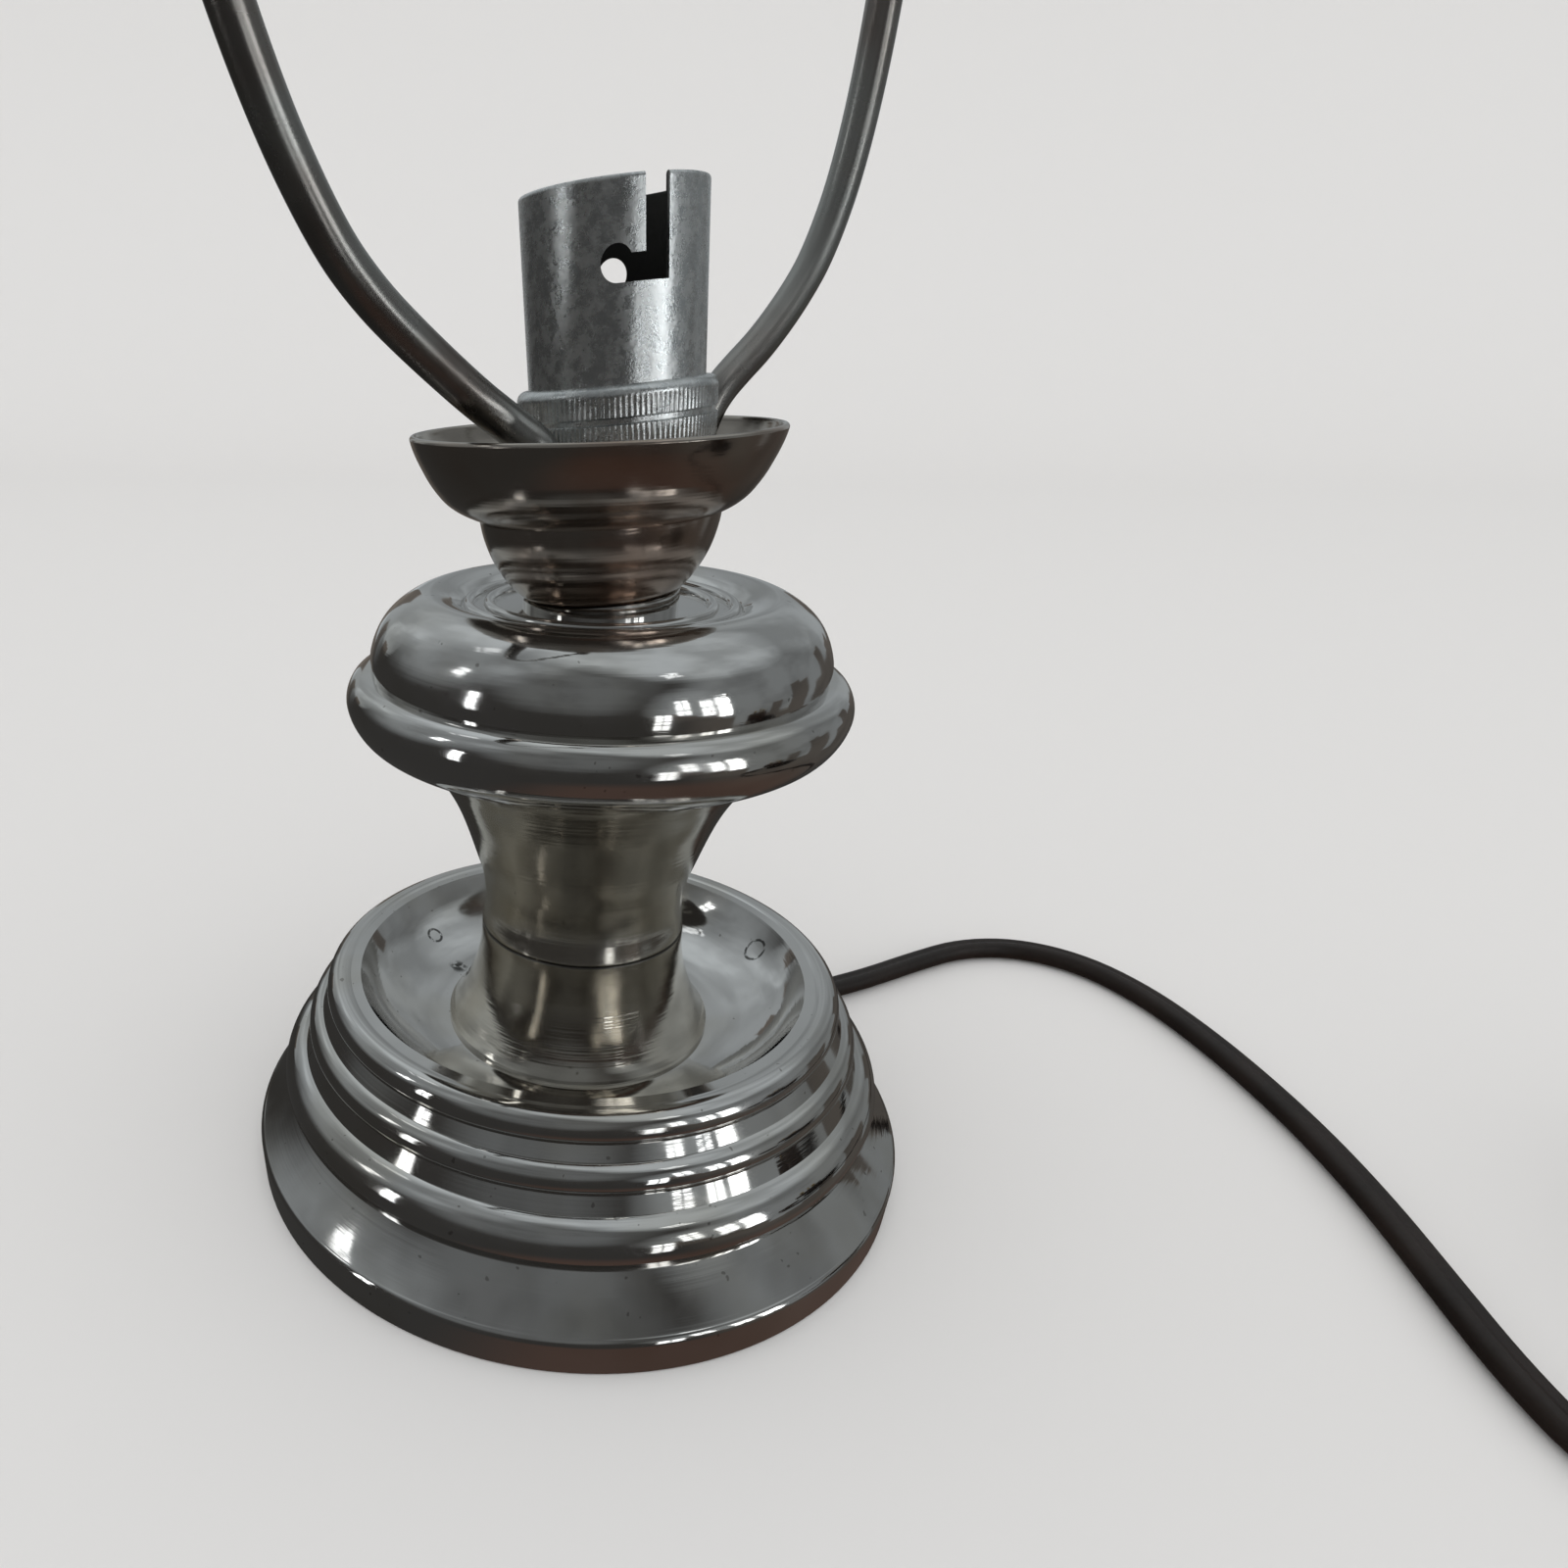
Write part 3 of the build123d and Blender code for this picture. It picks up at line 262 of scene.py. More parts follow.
def smooth(points, lead_way=None, tail_way=None, steps=7):
    """A smooth line through the points, which can leave and arrive in a given direction."""
    spots = [Vector(p) for p in points]
    ways = [(spots[min(i + 1, len(spots) - 1)] - spots[max(i - 1, 0)]).normalized() for i in range(len(spots))]
    if lead_way:
        ways[0] = Vector(lead_way).normalized()
    if tail_way:
        ways[-1] = Vector(tail_way).normalized()
    out = []
    for p, q, t, u in zip(spots, spots[1:], ways, ways[1:]):
        far = (q - p).length
        for i in range(steps):
            s = i / steps
            a, b = 2 * s ** 3 - 3 * s ** 2 + 1, s ** 3 - 2 * s ** 2 + s
            c, d = -2 * s ** 3 + 3 * s ** 2, s ** 3 - s ** 2
            out.append(tuple(p * a + t * far * b + q * c + u * far * d))
    return out + [tuple(spots[-1])]


def spin(name, outline, node, place=None, body="lamp", around=192, crease=30, ripple=None):
    """Turns a closed outline and lets it stand for a CAD node; ripple may press each point in or out."""
    bm = bmesh.new()
    rings = []
    for k, (r, z) in enumerate(outline):
        ring = []
        for i in range(around):
            a = 2 * pi * i / around
            rr = max(r + (ripple(k, a) if ripple else 0.0), 0.02) * MM
            ring.append(bm.verts.new((rr * cos(a), rr * sin(a), z * MM)))
        rings.append(ring)
    for a, b in zip(rings, rings[1:] + rings[:1]):
        for i in range(around):
            j = (i + 1) % around
            bm.faces.new((a[i], a[j], b[j], b[i]))
    piece = mesh_object(name, bm, crease)
    if place:
        piece.matrix_world = place
    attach(piece, body)
    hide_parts(node)
    print(name, "faces", len(piece.data.polygons))
    return piece


# %% [markdown]
# ## Base
# The base is spun in one go: a foot with a rounded edge, a long flange, a fat roll, a smaller roll, a bead and the
# dished deck. An inner outline, drawn in by the thickness of the sheet, closes it.

# %% Base shell
SHEET = 1.4
FOOT_R = 63.4
FOOT_ROUND = (61.8, 6.2, 1.6)
BASE_ROLLS = ((51.8, 18.6, 5.4, -44, 80, 22), (48.6, 28.4, 3.1, -36, 84, 14), (44.7, 35.2, 3.1, -30, 118, 18))
DECK = ((41.4, 38.0), (38.6, 33.9), (35.0, 30.9), (30.0, 28.4), (24.8, 27.3))
DECK_HOLE_R = 5.2
DECK_FLOOR = 27.3


def base_line(inset):
    """The base's outline from the foot to the deck, drawn in by inset."""
    line = [(FOOT_R - inset, 0.3)]
    line += arc(FOOT_ROUND[0], FOOT_ROUND[1], max(FOOT_ROUND[2] - inset, 0.25), 0, 66, 8)
    for mid_r, mid_z, radius, start, end, steps in BASE_ROLLS:
        line += arc(mid_r, mid_z, radius - inset, start, end, steps)
    line += smooth([(r, z - inset) for r, z in DECK], (-0.5, -0.86), (-1, -0.05), 8)
    return line + [(DECK_HOLE_R, DECK_FLOOR - inset)]


spin("base_skin", base_line(0) + list(reversed(base_line(SHEET))), "base_shell", crease=24)

# %% [markdown]
# ## Column and knop
# The column has two pieces: a flared foot on the deck, and a stem like a trumpet that opens under the knop. The joint
# between them is a fine open seam. The knop has two as well: a rim like a rolled brim, and a dome with two fine rings
# where the neck stands.

# %% Column
FOOT_CURVE = ((24.8, 28.0), (22.2, 31.9), (19.8, 37.9), (18.7, 42.8), (18.4, 47.2))
FOOT_INSIDE = ((21.6, 28.0), (20.3, 31.9), (18.5, 37.7), (17.4, 42.8), (17.1, 47.4))
SEAM_Z = 47.4
STEM_CURVE = ((18.3, 47.7), (17.8, 52.0), (18.2, 57.0), (19.3, 61.0), (22.4, 70.0), (25.4, 75.6), (29.6, 81.0))
STEM_INSIDE = ((18.3, 47.4), (17.8, 52.0), (18.2, 57.0), (19.3, 61.0), (22.4, 70.6), (29.4, 81.0))
STEM_WALL = 1.3

foot_out = [(24.8, 27.3)] + smooth(FOOT_CURVE, (-0.72, 0.7), (-0.05, 1), 10)
foot_in = [(18.2, SEAM_Z)] + list(reversed(smooth(FOOT_INSIDE, None, None, 5))) + [(21.6, 27.3)]
spin("foot_skin", foot_out + foot_in, "column_foot", crease=24)
stem_out = [(18.1, SEAM_Z), (18.3, 47.6)] + smooth(STEM_CURVE, (-0.1, 1), (0.8, 0.6), 10)
stem_in = [(r - STEM_WALL, z) for r, z in smooth(STEM_INSIDE)]
spin("stem_skin", stem_out + list(reversed(stem_in)), "column_stem", crease=24)

# %% Knop
RIM_CURVE = ((29.6, 81.0), (34.4, 82.2), (38.2, 84.6), (40.1, 88.6), (39.2, 91.8), (36.8, 93.2))
RIM_INSIDE = ((27.9, 82.3), (34.0, 83.6), (37.2, 85.8), (38.8, 88.6), (38.0, 90.9), (33.1, 91.9))
DOME_CURVE = ((36.0, 93.2), (35.8, 96.4), (34.0, 100.2), (31.2, 102.8), (27.2, 104.6), (23.6, 104.1), (21.6, 102.9))
NECK_Z = 102.6
NECK_RINGS = (20.4, 17.2)
NECK_RING_R = 0.9

rim_out = smooth(RIM_CURVE, (1, 0.1), (-1, 0.15), 10) + [(33.1, 93.2)]
rim_in = list(reversed(smooth(RIM_INSIDE, (1, 0.1), (-1, 0.1)))) + [(27.9, 81.0)]
spin("rim_skin", rim_out + rim_in, "knop_rim", crease=24)
dome_out = smooth(DOME_CURVE, (0, 1), (-0.6, -0.5), 12)
dome_top = [(21.4, NECK_Z)] + [spot for mid in NECK_RINGS for spot in arc(mid, NECK_Z, NECK_RING_R, 0, 180)]
dome_in = [(9.0, NECK_Z), (9.0, 101.3), (20.9, 101.3)]
dome_in += list(reversed([(r - 1.3, z - 1.1) for r, z in dome_out[6:-6]])) + [(34.7, 93.2)]
spin("dome_skin", dome_out + dome_top + dome_in, "knop_dome", crease=24)

# %% [markdown]
# ## Bowl and cup
# Above the knop the old lamp leans a little to the right. The bowl and everything above it are turned upright, and one
# matrix then leans them together. The cup sits on the bowl as on a ball, so it can lean less than the bowl does, and
# its underside follows that ball.

# %% Lean of the upper stack
LEAN = 5.0
STACK_Z = 104.4


def stack(shift):
    """The leaning place of a piece of the upper stack, moved sideways by shift."""
    return (Matrix.Translation((0, 0, STACK_Z * MM)) @ Matrix.Rotation(radians(-LEAN), 4, "Y")
            @ Matrix.Translation((shift * MM, 0, 0)))


print("lean", LEAN)

# %% Lower bowl
BOWL_CURVE = ((11.4, 0.0), (13.7, 1.9), (16.0, 5.2), (17.3, 8.6), (17.8, 11.4))
BOWL_INSIDE = ((12.4, 3.8), (14.6, 6.0), (15.9, 8.9), (16.6, 11.1))
BOWL_SHIFT = 0.1

bowl_out = smooth(BOWL_CURVE, (1, 0.5), (0.1, 1), 8) + [(17.5, 11.7), (17.0, 11.5)]
bowl_in = list(reversed(smooth(BOWL_INSIDE, (0.8, 0.6), (0.1, 1)))) + [(9.0, 3.8), (9.0, 0.0)]
spin("bowl_skin", bowl_out + bowl_in, "lower_bowl", stack(BOWL_SHIFT), crease=28)

# %% Drip cup
BALL_R = 50.0
BALL_MID = 11.2 - 0.4 + sqrt(BALL_R ** 2 - 17.0 ** 2)
CUP_SHEET = 1.0
CUP_CURVE = ((20.8, 12.5), (22.6, 14.0), (24.7, 17.0), (26.6, 21.6))
CUP_INSIDE = ((20.3, 13.4), (21.9, 14.8), (23.7, 17.4), (25.6, 21.6))
CUP_SHIFT = -0.7
CUP_SEAT = 11.2
CUP_LEAN = 2.0


def ball(r, ball_r):
    """A point of the ball-shaped underside at radius r."""
    return (r, BALL_MID - sqrt(ball_r ** 2 - r ** 2))


def cup_side(seats, start, ball_r, curve):
    """One side of the cup: the ball, then the flare."""
    flare = [ball(start, ball_r)] + list(curve)
    return [ball(r, ball_r) for r in seats] + smooth(flare, (0.93, 0.37), (0.2, 1), 9)


cup_out = cup_side((11.5, 13.2, 15.0, 16.8), 18.4, BALL_R, CUP_CURVE)
cup_in = cup_side((11.5, 13.2, 15.0, 16.6), 18.0, BALL_R - CUP_SHEET, CUP_INSIDE)
cup_place = (stack(CUP_SHIFT) @ Matrix.Translation((0, 0, CUP_SEAT * MM))
             @ Matrix.Rotation(radians(LEAN - CUP_LEAN), 4, "Y") @ Matrix.Translation((0, 0, -CUP_SEAT * MM)))
cup_lip = arc(26.1, 21.6, 0.5, 0, 180, 8)
spin("cup_skin", cup_out + cup_lip + list(reversed(cup_in)), "drip_cup", cup_place, crease=28)

# %% [markdown]
# ## Lampholder
# A bayonet lampholder is a drawn metal barrel on a knurled union ring. The knurl is pressed in as the ring is turned:
# the outline moves in and out with the angle, in two bands. The barrel's two J-slots take the bulb's pins, and are cut
# with real cutters, because a painted slot would let no light through.

# %% Union ring
HOLD = stack(2.8)
RING_SIDE = ((13.9, 22.8), (13.5, 23.0), (13.5, 23.55), (13.9, 23.75), (13.9, 25.9))
RING_BORE = ((12.3, 27.3), (12.3, 21.4), (11.7, 21.4), (11.7, 19.6), (13.3, 19.6))
KNURL_COUNT = 120
KNURL_DEEP = 0.09

ring_side = smooth([(13.5, 19.8), (13.9, 20.2)]) + list(RING_SIDE)
knurl_first = len(ring_side) - len(RING_SIDE) - 1
groove_rows = (knurl_first + 2, knurl_first + 3)


def knurl(k, a):
    """Straight knurling in two bands, with a plain groove between them."""
    if not knurl_first <= k < len(ring_side) or k in groove_rows:
        return 0.0
    return -KNURL_DEEP * (0.5 + 0.5 * cos(KNURL_COUNT * a))


ring_line = ring_side + arc(12.6, 26.0, 1.3, 4, 90, 8) + list(RING_BORE)
spin("ring_skin", ring_line, "union_ring", HOLD, around=960, crease=50, ripple=knurl)

# %% Slot cutters
SLOT_REACH = (9, 15)


def sector(name, low, high, turn0, turn1, steps=24):
    """A slice of a ring between two heights and two turns, used to cut a slot."""
    inner, outer = SLOT_REACH
    bm = bmesh.new()
    rows = []
    for i in range(steps + 1):
        a = radians(turn0 + (turn1 - turn0) * i / steps)
        corners = ((inner, low), (outer, low), (outer, high), (inner, high))
        rows.append([bm.verts.new((r * MM * cos(a), r * MM * sin(a), z * MM)) for r, z in corners])
    for a, b in zip(rows, rows[1:]):
        for j in range(4):
            k = (j + 1) % 4
            bm.faces.new((a[j], a[k], b[k], b[j]))
    bm.faces.new(rows[0])
    bm.faces.new(list(reversed(rows[-1])))
    return mesh_object(name, bm, 30)


def peg(name, radius, turn, z):
    """A round bar through one wall of the barrel."""
    bm = bmesh.new()
    bmesh.ops.create_cone(bm, cap_ends=True, segments=40, radius1=radius * MM, radius2=radius * MM, depth=0.008,
                          matrix=Matrix.Rotation(radians(turn), 4, "Z") @ Matrix.Translation((0.012, 0, z * MM))
                          @ Matrix.Rotation(radians(90), 4, "Y"))
    return mesh_object(name, bm, 30)


def cut(piece, tools):
    """Cuts the tools out of the piece for good."""
    for tool in tools:
        step = piece.modifiers.new("cut", "BOOLEAN")
        step.operation = "DIFFERENCE"
        step.solver = "EXACT"
        step.object = tool
    mesh = bpy.data.meshes.new_from_object(piece.evaluated_get(bpy.context.evaluated_depsgraph_get()))
    piece.modifiers.clear()
    piece.data = mesh
    for tool in tools:
        bpy.data.objects.remove(tool)


print("slot cutters ready")

# %% Barrel with two J-slots
ENTRY_TURN = -64.3
ENTRY_HALF = 7.5
SEAT_TURN = -88.5
SEAT_R = 2.0
SEAT_Z = 40.0
RUN_LOW, RUN_HIGH = 38.0, 40.9
ENTRY_LOW, ENTRY_HIGH = 38.6, 50

barrel_line = ([(12.2, 21.4), (12.2, 48.0)] + arc(11.8, 48.1, 0.4, 0, 180, 6)
               + [(11.4, 37.1), (11.1, 37.1), (11.1, 21.4)])
barrel = spin("barrel_skin", barrel_line, "holder_barrel")
slot_tools = []
for n, side in enumerate((0, 180)):
    entry, seat = ENTRY_TURN + side, SEAT_TURN + side
    slot_tools.append(sector(f"run{n}", RUN_LOW, RUN_HIGH, seat, entry + ENTRY_HALF))
    slot_tools.append(sector(f"entry{n}", ENTRY_LOW, ENTRY_HIGH, entry - ENTRY_HALF, entry + ENTRY_HALF))
    slot_tools.append(peg(f"seat{n}", SEAT_R, seat, SEAT_Z))
cut(barrel, slot_tools)
barrel.data.shade_smooth()
barrel.data.set_sharp_from_angle(angle=radians(30))
barrel.matrix_world = HOLD
print("barrel faces after cutting", len(barrel.data.polygons))

# %% [markdown]
# ## Harp and finial
# The harp is one round wire, bent from the saddle disc up and over the holder. The two arms come out of the cup in
# slightly different bends, as the photograph shows. A bevelled spline makes the round wire, and it is then kept as a
# mesh. The finial is a small turned knob on the crown, and it lifts off, so it rides on its own body.

# %% Harp wire
HARP_TURN = 42.0
WIRE_R = 0.0025
CROWN = ((54.2, 0, 92.0), (52.4, 0, 114.0), (46.0, 0, 135.0), (34.5, 0, 152.5), (17.5, 0, 165.0), (12.0, 0, 168.0))
FAR = (
    (14.6, 0, 14.2), (15.5, 0, 17.3), (17.6, 0, 21.6), (20.4, 0, 24.6), (23.9, 0, 26.9), (29.6, 0, 30.2),
    (36.6, 0, 35.8), (41.4, 0, 41.2), (46.6, 0, 51.0), (51.0, 0, 67.0),
)
NEAR = (
    (14.6, 16, 14.2), (15.6, 16, 17.2), (17.7, 13, 21.2), (18.9, 6.5, 23.0), (20.4, 2.4, 24.7), (24.4, 0, 27.8),
    (32.2, 0, 34.0), (37.7, 0, 38.9), (42.2, 0, 44.6), (47.4, 0, 56.0), (51.6, 0, 72.0),
)


def harp_points():
    """The wire's control points (radius, turn, height): up the far arm, over the crown, down the near arm."""
    near = [(r, t + 180, z) for r, t, z in NEAR + CROWN]
    route = list(FAR + CROWN) + list(reversed(near))
    return [Vector((r * cos(radians(t)), r * sin(radians(t)), z)) * MM for r, t, z in route]


wire_data = bpy.data.curves.new("harp_wire", "CURVE")
wire_data.dimensions = "3D"
wire_data.resolution_u = 12
wire_data.bevel_depth = WIRE_R
wire_data.bevel_resolution = 7
wire_data.use_fill_caps = True
wire_spline = wire_data.splines.new("NURBS")
wire_points = harp_points()
wire_spline.points.add(len(wire_points) - 1)
for spot, point in zip(wire_spline.points, wire_points):
    spot.co = (*point, 1.0)
wire_spline.order_u = 3
wire_spline.use_endpoint_u = True
wire_line = link(bpy.data.objects.new("wire_line", wire_data))
wire_mesh = bpy.data.meshes.new_from_object(wire_line.evaluated_get(bpy.context.evaluated_depsgraph_get()))
bpy.data.objects.remove(wire_line)
wire_mesh.shade_smooth()
wire_mesh.set_sharp_from_angle(angle=radians(40))
wire = link(bpy.data.objects.new("harp_wire", wire_mesh))
wire.matrix_world = HOLD @ Matrix.Rotation(radians(HARP_TURN), 4, "Z")
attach(wire, "lamp")
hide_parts("harp_loop")
print("harp wire's points", len(wire_points))

# %% Finial
FINIAL_FOOT = 168.0 + 4.0 + 0.1
FINIAL_FLANGE = ((5.1, 0.0), (5.4, 0.3), (5.4, 1.3), (5.1, 1.6))
FINIAL_CURVE = ((4.9, 1.7), (4.3, 3.4), (6.5, 8.2), (4.6, 12.8), (0.1, 15.0))
FINIAL_BORE = ((0.1, 11.6), (3.16, 11.6), (3.16, 0.0))

finial_line = list(FINIAL_FLANGE) + smooth(FINIAL_CURVE, (-0.7, 0.7), (-1, 0), 9) + list(FINIAL_BORE)
spin("finial_skin", [(r, z + FINIAL_FOOT) for r, z in finial_line], "finial", HOLD, body="finial", around=96)

# %% [markdown]
# ## Contact springs
# Inside the holder each sprung contact goes down a little when a bulb is put in, and its spring is pressed together.
# The springs come from the frame. Each one gets a mesh of its own, and the height of its seat, its lowest point
# along the stack, is printed.

# %% Contact springs
UP_THE_STACK = Vector((-sin(radians(LEAN)), 0, cos(radians(LEAN))))

for side in ("right", "left"):
    spring = bpy.data.objects["spring_" + side]
    seat = min((spring.matrix_world @ v.co for v in spring.data.vertices), key=UP_THE_STACK.dot)
    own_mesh(spring)
    print(spring.name, "seat height", round(seat.z, 4))

# %% [markdown]
# ## Plated metal
# The lamp is nickel plate that hands have polished for years: mirror bright, but with cloudy tone, faint spin lines,
# smudges and a few dark specks. All its metals wear in this way, so the wear is one node group, and each material gives
# it its own values. It reads the place on the piece, so the marks stay with the metal when a piece moves.

# %% Shader helpers
def new_material(name, base, metallic, rough):
    """A material with a Principled shader of these plain values."""
    mat = bpy.data.materials.new(name)
    mat.use_nodes = True
    bsdf = mat.node_tree.nodes["Principled BSDF"]
    bsdf.inputs["Base Color"].default_value = (*base, 1)
    bsdf.inputs["Metallic"].default_value = metallic
    bsdf.inputs["Roughness"].default_value = rough
    return mat, mat.node_tree, bsdf


def put(tree, socket, value):
    """Sets a socket to a number or colour, or links it."""
    if isinstance(value, bpy.types.NodeSocket):
        tree.links.new(value, socket)
    elif isinstance(value, tuple) and socket.type == "RGBA":
        socket.default_value = (*value, 1)
    else:
        socket.default_value = value


def mixed(tree, factor, a, b):
    """Colour a where factor is 0 and colour b where it is 1."""
    mix = tree.nodes.new("ShaderNodeMix")
    mix.data_type = "RGBA"
    for name, value in (("Factor", factor), ("A", a), ("B", b)):
        put(tree, mix.inputs[name], value)
    return mix.outputs["Result"]


def mapped(tree, value, low, high, to_low, to_high):
    """The value's range from low to high, carried smoothly to another range."""
    node = tree.nodes.new("ShaderNodeMapRange")
    node.interpolation_type = "SMOOTHSTEP"
    limits = (("From Min", low), ("From Max", high), ("To Min", to_low), ("To Max", to_high))
    for name, number in (("Value", value),) + limits:
        put(tree, node.inputs[name], number)
    return node.outputs["Result"]


def calc_in(tree, operation, a, b=0.0):
    """One step of arithmetic."""
    node = tree.nodes.new("ShaderNodeMath")
    node.operation = operation
    put(tree, node.inputs[0], a)
    put(tree, node.inputs[1], b)
    return node.outputs[0]


def noise_at(tree, place, scale, detail=4.0, rough=0.55, stretch=None):
    """Cloudy noise, which stretch can squeeze along an axis."""
    if stretch:
        shaped = tree.nodes.new("ShaderNodeMapping")
        shaped.inputs["Scale"].default_value = stretch
        tree.links.new(place, shaped.inputs["Vector"])
        place = shaped.outputs["Vector"]
    node = tree.nodes.new("ShaderNodeTexNoise")
    for name, value in (("Vector", place), ("Scale", scale), ("Detail", detail), ("Roughness", rough)):
        put(tree, node.inputs[name], value)
    return node.outputs["Fac"]


def bumped(tree, height, strength, distance, under=None):
    """A surface raised by height, over another normal if there is one."""
    node = tree.nodes.new("ShaderNodeBump")
    for name, value in (("Height", height), ("Strength", strength), ("Distance", distance)):
        put(tree, node.inputs[name], value)
    if under:
        tree.links.new(under, node.inputs["Normal"])
    return node.outputs["Normal"]


def object_place(tree):
    """The place on the piece."""
    return tree.nodes.new("ShaderNodeTexCoord").outputs["Object"]


def parts_of(tree, place):
    """The three measures of a place; the last is its height."""
    parts = tree.nodes.new("ShaderNodeSeparateXYZ")
    tree.links.new(place, parts.inputs[0])
    return parts.outputs


def new_group(name, sockets):
    """An empty node group with these named inputs, and with its colour, roughness and normal as outputs."""
    tree = bpy.data.node_groups.new(name, "ShaderNodeTree")
    for label, kind in sockets:
        tree.interface.new_socket(label, in_out="INPUT", socket_type=kind)
    made_kinds = (("Colour", "NodeSocketColor"), ("Roughness", "NodeSocketFloat"), ("Normal", "NodeSocketVector"))
    for label, kind in made_kinds:
        tree.interface.new_socket(label, in_out="OUTPUT", socket_type=kind)
    return tree, tree.nodes.new("NodeGroupInput").outputs, tree.nodes.new("NodeGroupOutput").inputs


def use_group(mat_tree, bsdf, group, **values):
    """Places a group in a material, gives it values, and feeds the shader from it."""
    node = mat_tree.nodes.new("ShaderNodeGroup")
    node.node_tree = group
    for label, value in values.items():
        put(mat_tree, node.inputs[label.replace("_", " ")], value)
    mat_tree.links.new(node.outputs["Colour"], bsdf.inputs["Base Color"])
    mat_tree.links.new(node.outputs["Roughness"], bsdf.inputs["Roughness"])
    mat_tree.links.new(node.outputs["Normal"], bsdf.inputs["Normal"])
    return node


print("shader helpers ready")

# %% Wear of plated metal
FLOAT, COLOUR = "NodeSocketFloat", "NodeSocketColor"
SPECK_COLOUR = (0.10, 0.08, 0.06)
wear, given, made = new_group("plate wear", (
    ("Base", COLOUR), ("Worn", COLOUR), ("Rough", FLOAT), ("Specks", FLOAT), ("Waves", FLOAT), ("Spin lines", FLOAT),
))
place = object_place(wear)
tone = mapped(wear, noise_at(wear, place, 38, 3), 0.42, 0.7, 0, 1)
speck = mapped(wear, noise_at(wear, place, 820, 1.0, 0.3), 0.765, 0.80, 0, given["Specks"])
worn = mixed(wear, tone, given["Base"], given["Worn"])
put(wear, made["Colour"], mixed(wear, speck, worn, SPECK_COLOUR))
smudge = noise_at(wear, place, 70, 6, 0.62)
rougher = calc_in(wear, "ADD", given["Rough"], 0.10)
put(wear, made["Roughness"], mapped(wear, smudge, 0.40, 0.72, given["Rough"], rougher))
waves = bumped(wear, noise_at(wear, place, 55, 2, 0.4), given["Waves"], 0.004)
spin_marks = noise_at(wear, place, 9, 2, 0.5, (1.0, 1.0, 260.0))
put(wear, made["Normal"], bumped(wear, spin_marks, given["Spin lines"], 0.0006, waves))
print("wear nodes", len(wear.nodes))

# %% [markdown]
# Two places have their own dirt: small rings and a spot on the deck, where something stood, and the seam of the column.
# Only one material has each of these, so they stay outside the group and darken its colour.

# %% Plated metals
MARK_COLOUR = (0.05, 0.05, 0.045)
SEAM_COLOUR = (0.035, 0.03, 0.025)
DECK_MARKS = (
    ((-0.0307, 0.0178, 0.0313), 0.0015, 0.0004), ((-0.0249, 0.0116, 0.0276), 0.0, 0.0024),
    ((0.0352, 0.0150, 0.0335), 0.0022, 0.0004),
)
SEAM_HEIGHT = 0.0475


def near_ring(tree, place, spot, radius, width):
    """1 on a small ring round the spot, or on the spot itself where radius is 0."""
    off = tree.nodes.new("ShaderNodeVectorMath")
    off.operation = "DISTANCE"
    tree.links.new(place, off.inputs[0])
    off.inputs[1].default_value = spot
    gap = calc_in(tree, "ABSOLUTE", calc_in(tree, "SUBTRACT", off.outputs["Value"], radius))
    return mapped(tree, gap, 0.35 * width, width, 1, 0)


def plated(name, base, worn, rough, waves=0.03, spin_lines=0.02, specks=0.45):
    """A plated metal, worn in its own way."""
    mat, tree, bsdf = new_material(name, base, 1.0, rough)
    node = use_group(tree, bsdf, wear, Base=base, Worn=worn, Rough=rough, Specks=specks, Waves=waves,
                     Spin_lines=spin_lines)
    return mat, tree, bsdf, node.outputs["Colour"]


def marked_deck(tree, bsdf, colour):
    """Broken dark rings and a spot on the deck."""
    place = object_place(tree)
    for spot, radius, width in DECK_MARKS:
        broken = mapped(tree, noise_at(tree, place, 900, 3), 0.38, 0.55, 0, 0.9)
        mark = calc_in(tree, "MULTIPLY", near_ring(tree, place, spot, radius, width), broken)
        colour = mixed(tree, mark, colour, MARK_COLOUR)
    tree.links.new(colour, bsdf.inputs["Base Color"])


def dirty_seam(tree, bsdf, colour):
    """A dark line where the column's two pieces meet."""
    height = parts_of(tree, object_place(tree))[2]
    off = calc_in(tree, "ABSOLUTE", calc_in(tree, "SUBTRACT", height, SEAM_HEIGHT))
    line = mapped(tree, off, 0.00022, 0.0004, 0.85, 0)
    tree.links.new(mixed(tree, line, colour, SEAM_COLOUR), bsdf.inputs["Base Color"])


nickel, *deck_parts = plated("nickel", (0.66, 0.65, 0.635), (0.58, 0.56, 0.52), 0.05)
marked_deck(*deck_parts)
column_nickel, *seam_parts = plated("column_nickel", (0.60, 0.57, 0.51), (0.50, 0.46, 0.39), 0.10, 0.04, 0.04)
dirty_seam(*seam_parts)
cup_nickel = plated("cup_nickel", (0.47, 0.43, 0.385), (0.40, 0.31, 0.255), 0.13, 0.06, 0.04)[0]
wire_metal = plated("wire_metal", (0.31, 0.31, 0.295), (0.22, 0.185, 0.165), 0.25, 0.08, 0.0, 0.0)[0]
steel = plated("steel", (0.52, 0.52, 0.53), (0.40, 0.39, 0.37), 0.28, specks=0.0)[0]
brass = plated("brass", (0.72, 0.52, 0.22), (0.55, 0.38, 0.16), 0.24, specks=0.0)[0]
print("plated metals", len(bpy.data.materials))
